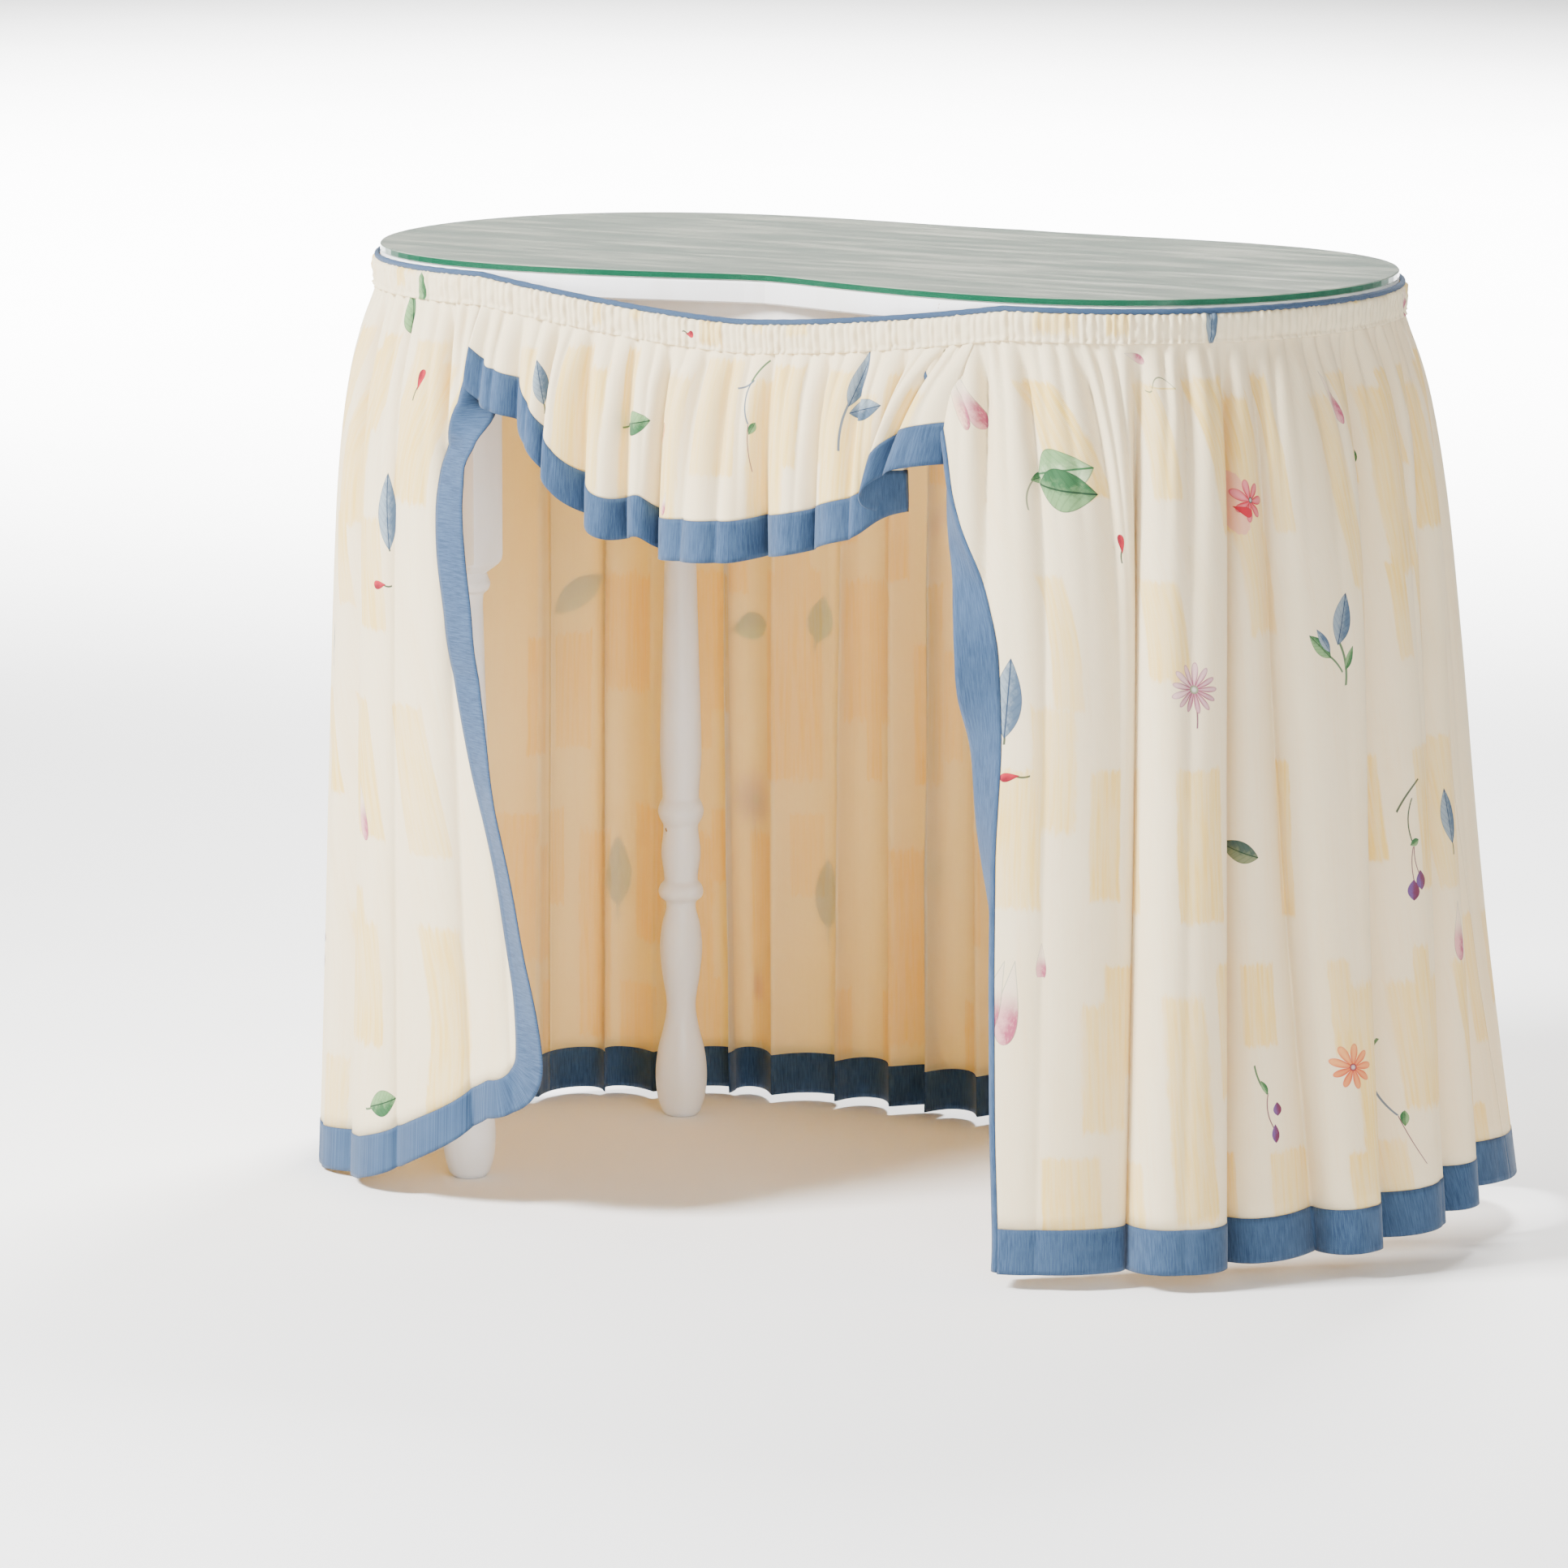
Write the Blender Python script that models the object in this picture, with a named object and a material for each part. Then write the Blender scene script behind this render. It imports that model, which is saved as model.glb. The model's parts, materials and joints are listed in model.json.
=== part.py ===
"""Kidney-shaped dressing table with a gathered cotton skirt and a loose glass top.

Metres, +Z up. The kneehole faces -Y, the long axis is X and the feet stand on Z = 0.
Plan coordinates are measured from the middle of the kidney-shaped board. One empty
carries every part and shifts the plan so that the whole table is centred on the origin.
"""
import math

import bmesh
import bpy
import numpy as np
from mathutils import Vector

# ---------------------------------------------------------------- driving dimensions
GAP = 0.0003                 # clearance between pieces that touch
SHARP_ANGLE = math.radians(40)
TABLE_HEIGHT = 0.765         # floor to the upper face of the glass
GLASS_THICKNESS = 0.006
BOARD_THICKNESS = 0.018

# Kidney outline: x is a sum of sines and y a sum of cosines of k a, with a = 0 at the back
KIDNEY_X = {1: 0.3477, 3: -0.0906}
KIDNEY_Y = {1: 0.2617, 2: 0.0105, 3: -0.0710, 4: 0.0034, 5: 0.0144}
RIM_STEPS = 128              # facets round the board and the glass
GLASS_ARRIS = 0.0008         # ground edge of the glass
BOARD_ARRIS = 0.0015

LEG_STOCK = 0.044            # square stock of the legs
LEG_FRONT = (0.302, -0.163)  # leg centres, mirrored left and right
LEG_BACK = (0.290, 0.149)
BLOCK_START = 0.512          # height where the turning ends and the square block is full
LEG_SIDES = 16
# Turned profile from the floor up: height and radius
TURNING = (
    (0.000, 0.0130), (0.004, 0.0165), (0.018, 0.0205), (0.038, 0.0218), (0.058, 0.0195),
    (0.076, 0.0150), (0.092, 0.0124), (0.102, 0.0128), (0.122, 0.0160), (0.145, 0.0180),
    (0.165, 0.0160), (0.178, 0.0127), (0.184, 0.0130), (0.188, 0.0176), (0.193, 0.0190),
    (0.198, 0.0176), (0.203, 0.0142), (0.226, 0.0168), (0.249, 0.0147), (0.256, 0.0180),
    (0.262, 0.0195), (0.268, 0.0180), (0.274, 0.0155), (0.310, 0.0176), (0.380, 0.0160),
    (0.463, 0.0138), (0.484, 0.0140), (0.488, 0.0180), (0.493, 0.0195), (0.498, 0.0180),
    (0.502, 0.0165),
)

APRON_HEIGHT = 0.085
APRON_THICKNESS = 0.019
APRON_SETBACK = 0.003        # apron face behind the face of the leg block
APRON_ARRIS = 0.001
BRACE_NEAR = 0.055           # where a corner brace meets the aprons, from their inner corner
BRACE_FAR = 0.082
BRACE_HEIGHT = 0.040
SCREW_RADIUS = 0.0019
SCREW_HEAD_RADIUS = 0.0042
SCREW_HEAD_FACE = 0.0029     # radius of the head's flat face
SCREW_HEAD_HEIGHT = 0.0025
SCREW_BITE = 0.012           # length of the screw in the board
SCREW_TIP_LENGTH = 0.004
SCREW_TIP_RADIUS = 0.0004
SCREW_SIDES = 12
HOLE_CLEARANCE = 0.0003
HOLE_END = 0.001             # pilot hole deeper than the screw
CUT_MARGIN = 0.002           # how far a cutter runs past the face it cuts through

# Cloth. s runs round the table from the middle of the front, towards +X
PIPING_RADIUS = 0.0022
PIPING_DROP = 0.0032         # middle of the piping below the board's upper face
PIPING_CLEAR = 0.0005        # between the piping and the board's edge
PIPING_SIDES = 6
ELASTIC_OFFSET = (0.0005, 0.0017)
ELASTIC_HEIGHT = 0.017
HEADING_OFFSET = (0.0021, 0.0068)
HEADING_HEIGHT = 0.021
HEADING_STEPS = 96
SEAM_GAP = 0.0015            # between the heading and the cloth below it
SAG = 0.024                  # droop of the free heading across the hollow front
SAG_HALF_WIDTH = 0.24
SAG_POWER = 1.5
CLOTH_START = 0.0045         # middle of the cloth, outside the board, at the heading
BULGE = 0.027                # how far the gathers stand out below the heading
BULGE_DEPTH = 0.07
FLARE = 0.035                # further spread at the hem
FLARE_RIGHT = 0.020          # more on the right end, less on the left
FLARE_FRONT = 0.015          # more on the front, less on the back
FLARE_POWER = 1.4
CLOTH_THICKNESS = (0.004, 0.008)  # solid that stands for the folds, at heading and hem
THICKENING = 3               # it reaches the hem's thickness a third of the way down
HEM_HEIGHT = 0.006
BORDER_WIDTH = 0.035         # blue border along hem and front edges
LEFT_CORNER_RADIUS = 0.100   # rounded lower front corner of the left panel
RIGHT_CORNER_RADIUS = 0.045  # the right corner is tucked behind the first fold
LEFT_EDGE_X = (-0.252, -0.200)    # front edge of the left panel, at heading and hem
RIGHT_EDGE_X = (0.196, 0.214)
VALANCE_X = (-0.246, 0.190)
VALANCE_DROP = (0.090, 0.214, 0.135)   # left end, lowest point and right end, below rim
VALANCE_LOW_X = -0.02
VALANCE_BORDER = 0.033
PANELS = 4                   # the skirt's panels, one front and one back on each side
PANEL_COLUMNS = 14
PANEL_ROWS = 6
VALANCE_COLUMNS = 16
VALANCE_ROWS = 4
CORNER_STEPS = 5

FACE_INSET = LEG_STOCK / 2 - APRON_SETBACK      # apron's outer face from the leg's centre
INNER_INSET = APRON_THICKNESS - FACE_INSET       # apron's inner face, towards the middle
SIDE_FACE_X = (LEG_FRONT[0] + LEG_BACK[0]) / 2 + FACE_INSET
SIDE_INNER_X = SIDE_FACE_X - APRON_THICKNESS

BOARD_TOP = TABLE_HEIGHT - GLASS_THICKNESS - GAP
BOARD_UNDER = BOARD_TOP - BOARD_THICKNESS
LEG_TOP = BOARD_UNDER - GAP
PIPING_Z = BOARD_TOP - PIPING_DROP
HEADING_TOP = PIPING_Z - PIPING_RADIUS - GAP
HEADING_BOTTOM = HEADING_TOP - HEADING_HEIGHT
CLOTH_TOP = HEADING_BOTTOM - SEAM_GAP

COLOURS = {
    "glass": ((0.50, 0.62, 0.57), 0.05, 0.0),
    "paint": ((0.78, 0.78, 0.79), 0.32, 0.0),
    "pine": ((0.62, 0.45, 0.28), 0.60, 0.0),
    "print": ((0.87, 0.80, 0.62), 0.85, 0.0),
    "blue": ((0.10, 0.21, 0.38), 0.85, 0.0),
    "elastic": ((0.80, 0.80, 0.78), 0.80, 0.0),
    "steel": ((0.55, 0.55, 0.53), 0.35, 1.0),
}


# ---------------------------------------------------------------- scene helpers
def clear_scene():
    for item in list(bpy.data.objects):
        bpy.data.objects.remove(item, do_unlink=True)


def make_material(name, finish):
    colour, roughness, metallic = COLOURS[finish]
    material = bpy.data.materials.new(name + "_" + finish)
    material.use_nodes = True
    shader = material.node_tree.nodes["Principled BSDF"]
    shader.inputs["Base Color"].default_value = (*colour, 1.0)
    shader.inputs["Roughness"].default_value = roughness
    shader.inputs["Metallic"].default_value = metallic
    material.diffuse_color = (*colour, 1.0)
    return material


def add_object(name, mesh, finish, plan, smooth=False):
    item = bpy.data.objects.new(name, mesh)
    bpy.context.collection.objects.link(item)
    mesh.materials.append(make_material(name, finish))
    if smooth:
        mesh.shade_smooth()
        mesh.set_sharp_from_angle(angle=SHARP_ANGLE)
    item.parent = plan
    return item


def mesh_from_bmesh(name, shape):
    bmesh.ops.recalc_face_normals(shape, faces=shape.faces)
    mesh = bpy.data.meshes.new(name)
    shape.to_mesh(mesh)
    shape.free()
    return mesh


# ---------------------------------------------------------------- outlines in plan
def kidney(angle):
    x = sum(size * math.sin(k * angle) for k, size in KIDNEY_X.items())
    y = sum(size * math.cos(k * angle) for k, size in KIDNEY_Y.items())
    return x, y


class Outline:
    """A closed line in plan, read by its length s from the middle of the front, towards +X."""

    STEPS = 1440

    def __init__(self, bridged):
        turns = [math.pi - 2 * math.pi * i / self.STEPS for i in range(self.STEPS + 1)]
        points = np.array([kidney(a) for a in turns])
        if bridged:
            low = points[:, 1].argmin()
            lobe_x, lobe_y = abs(points[low, 0]), points[low, 1]
            hollow = (points[:, 1] < 0) & (abs(points[:, 0]) < lobe_x)
            points[hollow, 1] = lobe_y
        step = np.linalg.norm(np.diff(points, axis=0), axis=1)
        self.points = points
        self.length = step.sum()
        self.s = np.concatenate([[0.0], np.cumsum(step)])
        along = np.gradient(points, axis=0)
        along /= np.linalg.norm(along, axis=1)[:, None]
        self.normals = np.stack([along[:, 1], -along[:, 0]], axis=1)

    def at(self, s):
        s = s % self.length
        point = [np.interp(s, self.s, self.points[:, k]) for k in (0, 1)]
        normal = [np.interp(s, self.s, self.normals[:, k]) for k in (0, 1)]
        return np.array(point), np.array(normal)


BOARD_LINE = Outline(bridged=False)
RIM = Outline(bridged=True)


def sag(s):
    """Droop of the heading where it hangs free across the hollow front."""
    point, _ = RIM.at(s)
    if point[1] > 0 or abs(point[0]) >= SAG_HALF_WIDTH:
        return 0.0
    return SAG * (1 - (abs(point[0]) / SAG_HALF_WIDTH) ** SAG_POWER)


def ring_point(s, offset, z):
    point, normal = RIM.at(s)
    x, y = point + offset * normal
    return Vector((x, y, z - sag(s)))


def cloth_point(s, z, side):
    """A point of the hanging cloth: side is -1 on its inner face and +1 on its outer face."""
    point, normal = RIM.at(s)
    drop = max(0.0, CLOTH_TOP - z)
    share = drop / (CLOTH_TOP - HEM_HEIGHT)
    flare = FLARE + FLARE_RIGHT * normal[0] - FLARE_FRONT * normal[1]
    offset = CLOTH_START + BULGE * (1 - math.exp(-drop / BULGE_DEPTH))
    offset += flare * share ** FLARE_POWER
    thin, thick = CLOTH_THICKNESS
    offset += side * (thin + (thick - thin) * min(1.0, THICKENING * share)) / 2
    x, y = point + offset * normal
    return Vector((x, y, z))


# ---------------------------------------------------------------- solids
def loft(name, rings, closed_ends=True):
    """A closed solid through rings that all have the same number of points."""
    shape = bmesh.new()
    levels = [[shape.verts.new(point) for point in ring] for ring in rings]
    count = len(levels[0])
    for lower, upper in zip(levels, levels[1:]):
        for i in range(count):
            j = (i + 1) % count
            shape.faces.new((lower[i], lower[j], upper[j], upper[i]))
    if closed_ends:
        shape.faces.new(list(reversed(levels[0])))
        shape.faces.new(levels[-1])
    else:
        for i in range(count):
            j = (i + 1) % count
            shape.faces.new((levels[-1][i], levels[-1][j], levels[0][j], levels[0][i]))
    return mesh_from_bmesh(name, shape)


def plate(name, outline, low, high):
    """An upright prism over a plan outline."""
    rings = [[(x, y, z) for x, y in outline] for z in (low, high)]
    return loft(name, rings)


def sheet(name, rows):
    """A thin closed solid from rows of (inner point, outer point) pairs."""
    shape = bmesh.new()
    grid = [[[shape.verts.new(point) for point in pair] for pair in row] for row in rows]
    last_row, last_pair = len(grid) - 1, len(grid[0]) - 1
    for i in range(last_row):
        for j in range(last_pair):
            square = (grid[i][j], grid[i][j + 1], grid[i + 1][j + 1], grid[i + 1][j])
            shape.faces.new([pair[0] for pair in square])
            shape.faces.new([pair[1] for pair in reversed(square)])
    for i in range(last_row):
        for j in (0, last_pair):
            shape.faces.new((*grid[i][j], *reversed(grid[i + 1][j])))
    for j in range(last_pair):
        for i in (0, last_row):
            shape.faces.new((*grid[i][j], *reversed(grid[i][j + 1])))
    return mesh_from_bmesh(name, shape)


def bevel(item, width):
    modifier = item.modifiers.new("arris", "BEVEL")
    modifier.width = width
    modifier.segments = 1
    modifier.limit_method = "ANGLE"
    modifier.angle_limit = SHARP_ANGLE


def cut(item, cutter):
    modifier = item.modifiers.new("cut_" + cutter.name, "BOOLEAN")
    modifier.operation = "DIFFERENCE"
    modifier.object = cutter
    cutter.hide_render = True
    cutter.display_type = "WIRE"


def rod_rings(x, y, levels, sides):
    rings = []
    for z, radius in levels:
        angles = [2 * math.pi * k / sides for k in range(sides)]
        rings.append([(x + radius * math.cos(a), y + radius * math.sin(a), z) for a in angles])
    return rings


# ---------------------------------------------------------------- glass and board
def kidney_outline():
    step = BOARD_LINE.length / RIM_STEPS
    return [tuple(BOARD_LINE.at(step * i)[0]) for i in range(RIM_STEPS)]


def make_glass(plan):
    mesh = plate("glass_top", kidney_outline(), BOARD_TOP + GAP, TABLE_HEIGHT)
    item = add_object("glass_top", mesh, "glass", plan, smooth=True)
    bevel(item, GLASS_ARRIS)


def apron_corners():
    """The inner corner between two aprons behind each leg, and the way to the middle."""
    corners = []
    for row, leg_y, in_y in (("front", LEG_FRONT[1], 1), ("back", LEG_BACK[1], -1)):
        for side, in_x in (("left", 1), ("right", -1)):
            corners.append((row + "_" + side, -in_x * SIDE_INNER_X, leg_y + in_y * INNER_INSET,
                            in_x, in_y))
    return corners


def screw_place(x, y, in_x, in_y):
    middle = (BRACE_NEAR + BRACE_FAR) / 4
    return x + in_x * middle, y + in_y * middle


def make_board(plan):
    mesh = plate("top_board", kidney_outline(), BOARD_UNDER, BOARD_TOP)
    board = add_object("top_board", mesh, "paint", plan, smooth=True)
    bevel(board, BOARD_ARRIS)
    for name, x, y, in_x, in_y in apron_corners():
        centre_x, centre_y = screw_place(x, y, in_x, in_y)
        levels = [(BOARD_UNDER - CUT_MARGIN, SCREW_RADIUS + HOLE_CLEARANCE),
                  (BOARD_UNDER + SCREW_BITE + HOLE_END, SCREW_RADIUS + HOLE_CLEARANCE)]
        hole = loft("pilot_" + name, rod_rings(centre_x, centre_y, levels, SCREW_SIDES))
        cut(board, add_object("pilot_" + name, hole, "steel", plan))


# ---------------------------------------------------------------- legs and frame
def leg_ring(x, y, z, radius, squareness):
    """One ring of a leg: a circle at squareness 0, the square stock at squareness 1."""
    ring = []
    for k in range(LEG_SIDES):
        angle = 2 * math.pi * k / LEG_SIDES
        flat = LEG_STOCK / 2 / max(abs(math.cos(angle)), abs(math.sin(angle)))
        reach = radius + (flat - radius) * squareness
        ring.append((x + reach * math.cos(angle), y + reach * math.sin(angle), z))
    return ring


def make_leg(name, x, y, plan):
    rings = [leg_ring(x, y, z, radius, 0.0) for z, radius in TURNING]
    rings.append(leg_ring(x, y, BLOCK_START, 0.0, 1.0))
    rings.append(leg_ring(x, y, LEG_TOP, 0.0, 1.0))
    add_object(name, loft(name, rings), "paint", plan, smooth=True)


def make_legs(plan):
    for row, (leg_x, leg_y) in (("front", LEG_FRONT), ("back", LEG_BACK)):
        for side, sign in (("left", -1), ("right", 1)):
            make_leg("leg_" + row + "_" + side, sign * leg_x, leg_y, plan)


def make_bar(name, start, end, plan):
    """An apron: its outer face runs from start to end in plan, its thickness lies to the left."""
    along = (Vector(end) - Vector(start)).normalized()
    inward = Vector((-along.y, along.x)) * APRON_THICKNESS
    corners = [Vector(start), Vector(end), Vector(end) + inward, Vector(start) + inward]
    outline = [(corner.x, corner.y) for corner in corners]
    mesh = plate(name, outline, LEG_TOP - APRON_HEIGHT, LEG_TOP)
    item = add_object(name, mesh, "paint", plan)
    bevel(item, APRON_ARRIS)


def make_aprons(plan):
    half = LEG_STOCK / 2
    clear_front = LEG_FRONT[0] - half - GAP
    clear_back = LEG_BACK[0] - half - GAP
    front_face = LEG_FRONT[1] - FACE_INSET
    back_face = LEG_BACK[1] + FACE_INSET
    low, high = LEG_FRONT[1] + half + GAP, LEG_BACK[1] - half - GAP
    make_bar("apron_front", (-clear_front, front_face), (clear_front, front_face), plan)
    make_bar("apron_back", (clear_back, back_face), (-clear_back, back_face), plan)
    make_bar("apron_right", (SIDE_FACE_X, low), (SIDE_FACE_X, high), plan)
    make_bar("apron_left", (-SIDE_FACE_X, high), (-SIDE_FACE_X, low), plan)


def make_braces(plan):
    for name, x, y, in_x, in_y in apron_corners():
        near, far = BRACE_NEAR, BRACE_FAR
        local = ((near, GAP), (far, GAP), (GAP, far), (GAP, near))
        outline = [(x + in_x * u, y + in_y * v) for u, v in local]
        low = LEG_TOP - BRACE_HEIGHT
        mesh = plate("brace_" + name, outline, low, LEG_TOP)
        brace = add_object("brace_" + name, mesh, "pine", plan)
        centre_x, centre_y = screw_place(x, y, in_x, in_y)
        bore = [(low - CUT_MARGIN, SCREW_RADIUS + HOLE_CLEARANCE),
                (LEG_TOP + CUT_MARGIN, SCREW_RADIUS + HOLE_CLEARANCE)]
        bore_mesh = loft("bore_" + name, rod_rings(centre_x, centre_y, bore, SCREW_SIDES))
        cut(brace, add_object("bore_" + name, bore_mesh, "steel", plan))
        levels = [(low - GAP - SCREW_HEAD_HEIGHT, SCREW_HEAD_FACE),
                  (low - GAP, SCREW_HEAD_RADIUS), (low - GAP, SCREW_RADIUS),
                  (BOARD_UNDER + SCREW_BITE - SCREW_TIP_LENGTH, SCREW_RADIUS),
                  (BOARD_UNDER + SCREW_BITE, SCREW_TIP_RADIUS)]
        screw = loft("screw_" + name, rod_rings(centre_x, centre_y, levels, SCREW_SIDES))
        add_object("screw_" + name, screw, "steel", plan, smooth=True)


# ---------------------------------------------------------------- heading of the skirt
def make_band(name, offsets, high, low, finish, plan):
    """A band round the rim: its four-cornered section is carried right round."""
    rings = []
    for i in range(HEADING_STEPS):
        s = RIM.length * i / HEADING_STEPS
        inner, outer = offsets
        corners = ((inner, low), (outer, low), (outer, high), (inner, high))
        rings.append([ring_point(s, offset, z) for offset, z in corners])
    mesh = loft(name, rings, closed_ends=False)
    add_object(name, mesh, finish, plan)


def make_piping(plan):
    rings = []
    centre = PIPING_CLEAR + PIPING_RADIUS
    for i in range(HEADING_STEPS):
        s = RIM.length * i / HEADING_STEPS
        ring = []
        for k in range(PIPING_SIDES):
            angle = 2 * math.pi * (k + 0.5) / PIPING_SIDES
            offset = centre + PIPING_RADIUS * math.cos(angle)
            ring.append(ring_point(s, offset, PIPING_Z + PIPING_RADIUS * math.sin(angle)))
        rings.append(ring)
    mesh = loft("top_piping", rings, closed_ends=False)
    add_object("top_piping", mesh, "blue", plan, smooth=True)


def make_heading(plan):
    middle = (HEADING_TOP + HEADING_BOTTOM) / 2
    high, low = middle + ELASTIC_HEIGHT / 2, middle - ELASTIC_HEIGHT / 2
    make_band("heading_elastic", ELASTIC_OFFSET, high, low, "elastic", plan)
    make_band("heading_casing", HEADING_OFFSET, HEADING_TOP, HEADING_BOTTOM, "print", plan)
    make_piping(plan)


# ---------------------------------------------------------------- hanging cloth
def cloth_pair(s, z):
    return cloth_point(s, z, -1), cloth_point(s, z, 1)


def edge_s(edge, z):
    """Position along the rim of a panel's front edge, which drifts from heading to hem."""
    share = (CLOTH_TOP - z) / (CLOTH_TOP - HEM_HEIGHT)
    return edge[0] + (edge[1] - edge[0]) * share


def border_route(height, hem_run, radius):
    """Pairs of outer and inner points of the border, from the heading to the seam at the hem.

    A point is its distance from the front edge and its height above the hem.
    """
    inner_radius = radius - BORDER_WIDTH
    upright = []
    for k in range(PANEL_ROWS):
        w = height + (radius - height) * k / PANEL_ROWS
        upright.append(((0.0, w), (BORDER_WIDTH, w)))
    turned = []
    for k in range(CORNER_STEPS + 1):
        turn = math.pi / 2 * k / CORNER_STEPS
        cos, sin = math.cos(turn), math.sin(turn)
        outer = (radius * (1 - cos), radius * (1 - sin))
        inner = (radius - inner_radius * cos, radius - inner_radius * sin)
        turned.append((outer, inner))
    for k in range(1, PANEL_COLUMNS - CORNER_STEPS + 1):
        u = radius + (hem_run - radius) * k / (PANEL_COLUMNS - CORNER_STEPS)
        turned.append(((u, 0.0), (u, BORDER_WIDTH)))
    return upright, turned


def front_panel(name, edge, towards, seam, radius, plan):
    """A front panel with a rounded lower corner, and the border along its edge and hem."""
    height = CLOTH_TOP - HEM_HEIGHT
    hem_run = abs(seam - edge[0])

    def pair(u, w):
        z = HEM_HEIGHT + w
        share = max(0.0, u - BORDER_WIDTH) / (hem_run - BORDER_WIDTH)
        s = edge[0] + (edge_s(edge, z) - edge[0]) * (1 - share) + towards * u
        if w > radius:
            z -= sag(s) * (w - radius) / (height - radius)
        return cloth_pair(s, z)

    upright, turned = border_route(height, hem_run, radius)
    rows = [[pair(*outer), pair(*inner)] for outer, inner in upright + turned]
    add_object("border_" + name, sheet("border_" + name, rows), "blue", plan)

    rows = []
    for _, (u, low) in turned:
        low += GAP
        levels = [height + (low - height) * j / PANEL_ROWS for j in range(PANEL_ROWS + 1)]
        inset = GAP if u < hem_run else 0.0
        rows.append([pair(u + inset, w) for w in levels])
    add_object("skirt_" + name, sheet("skirt_" + name, rows), "print", plan)


def back_panel(name, start, end, plan):
    for part, low, high, finish, steps in (
            ("skirt_", HEM_HEIGHT + BORDER_WIDTH + GAP, CLOTH_TOP, "print", PANEL_ROWS),
            ("hem_", HEM_HEIGHT, HEM_HEIGHT + BORDER_WIDTH, "blue", 1)):
        rows = []
        for i in range(PANEL_COLUMNS + 1):
            s = start + (end - start) * i / PANEL_COLUMNS
            rows.append([cloth_pair(s, high + (low - high) * j / steps) for j in range(steps + 1)])
        add_object(part + name, sheet(part + name, rows), finish, plan)


def valance_drop(x):
    """Depth of the valance below the rim: a crescent, longest near the middle."""
    left, deep, right = VALANCE_DROP
    if x < VALANCE_LOW_X:
        share = (x - VALANCE_LOW_X) / (VALANCE_X[0] - VALANCE_LOW_X)
        return deep + (left - deep) * share ** 2
    share = (x - VALANCE_LOW_X) / (VALANCE_X[1] - VALANCE_LOW_X)
    return deep + (right - deep) * share ** 2


def make_valance(plan):
    for name, finish in (("valance", "print"), ("valance_border", "blue")):
        rows = []
        for i in range(VALANCE_COLUMNS + 1):
            x = VALANCE_X[0] + (VALANCE_X[1] - VALANCE_X[0]) * i / VALANCE_COLUMNS
            top = CLOTH_TOP - sag(x)
            low = BOARD_TOP - valance_drop(x)
            split = low + VALANCE_BORDER
            if name == "valance":
                fall = (split + GAP - top) / VALANCE_ROWS
                levels = [top + fall * j for j in range(VALANCE_ROWS + 1)]
            else:
                levels = [split, low]
            rows.append([cloth_pair(x, z) for z in levels])
        add_object(name, sheet(name, rows), finish, plan)


def make_skirt(plan):
    first = RIGHT_EDGE_X[0]
    last = RIM.length + LEFT_EDGE_X[0]
    panel = (last - first) / PANELS
    seams = [first + panel * k for k in range(PANELS + 1)]
    left_edge = tuple(RIM.length + x for x in LEFT_EDGE_X)
    front_panel("right", RIGHT_EDGE_X, 1, seams[1] - GAP, RIGHT_CORNER_RADIUS, plan)
    back_panel("back_right", seams[1], seams[2] - GAP, plan)
    back_panel("back_left", seams[2], seams[3] - GAP, plan)
    front_panel("left", left_edge, -1, seams[3], LEFT_CORNER_RADIUS, plan)
    make_valance(plan)


# ---------------------------------------------------------------- assembly
def centre_on_origin(plan):
    """Shift the plan so that the whole table's box is centred on the origin."""
    corners = []
    for item in bpy.data.objects:
        if item.type == "MESH" and not item.hide_render:
            corners.extend(vertex.co.xy for vertex in item.data.vertices)
    xs = [corner.x for corner in corners]
    ys = [corner.y for corner in corners]
    plan.location = (-(min(xs) + max(xs)) / 2, -(min(ys) + max(ys)) / 2, 0.0)


def main():
    clear_scene()
    plan = bpy.data.objects.new("plan", None)
    bpy.context.collection.objects.link(plan)
    make_glass(plan)
    make_board(plan)
    make_legs(plan)
    make_aprons(plan)
    make_braces(plan)
    make_heading(plan)
    make_skirt(plan)
    centre_on_origin(plan)


main()
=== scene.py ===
import json
import math

import bmesh
import bpy
import numpy as np
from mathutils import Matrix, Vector


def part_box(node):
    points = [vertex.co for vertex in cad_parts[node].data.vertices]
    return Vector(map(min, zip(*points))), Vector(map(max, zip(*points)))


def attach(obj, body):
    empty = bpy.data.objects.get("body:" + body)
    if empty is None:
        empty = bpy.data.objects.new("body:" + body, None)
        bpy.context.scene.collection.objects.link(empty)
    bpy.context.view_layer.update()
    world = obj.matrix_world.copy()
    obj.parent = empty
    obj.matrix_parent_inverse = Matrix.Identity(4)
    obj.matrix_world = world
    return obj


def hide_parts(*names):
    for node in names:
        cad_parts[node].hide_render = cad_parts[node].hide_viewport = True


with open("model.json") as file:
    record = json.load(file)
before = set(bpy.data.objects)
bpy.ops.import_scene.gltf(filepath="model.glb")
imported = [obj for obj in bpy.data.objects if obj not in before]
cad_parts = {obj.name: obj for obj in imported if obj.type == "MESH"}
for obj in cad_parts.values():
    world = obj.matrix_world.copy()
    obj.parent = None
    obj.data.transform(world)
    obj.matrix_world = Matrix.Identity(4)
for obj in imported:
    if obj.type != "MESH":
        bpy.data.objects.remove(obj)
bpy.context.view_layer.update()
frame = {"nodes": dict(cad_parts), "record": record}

# ---------------------------------------------------------------- places from the frame
BOARD_LOW, BOARD_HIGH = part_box("top_board")
CASING_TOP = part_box("heading_casing")[1].z
PIPING_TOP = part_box("top_piping")[1].z
CLOTH_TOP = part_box("skirt_right")[1].z
HEM_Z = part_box("border_right")[0].z
FALL = CLOTH_TOP - HEM_Z
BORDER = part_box("hem_back_left")[1].z - HEM_Z

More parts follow.
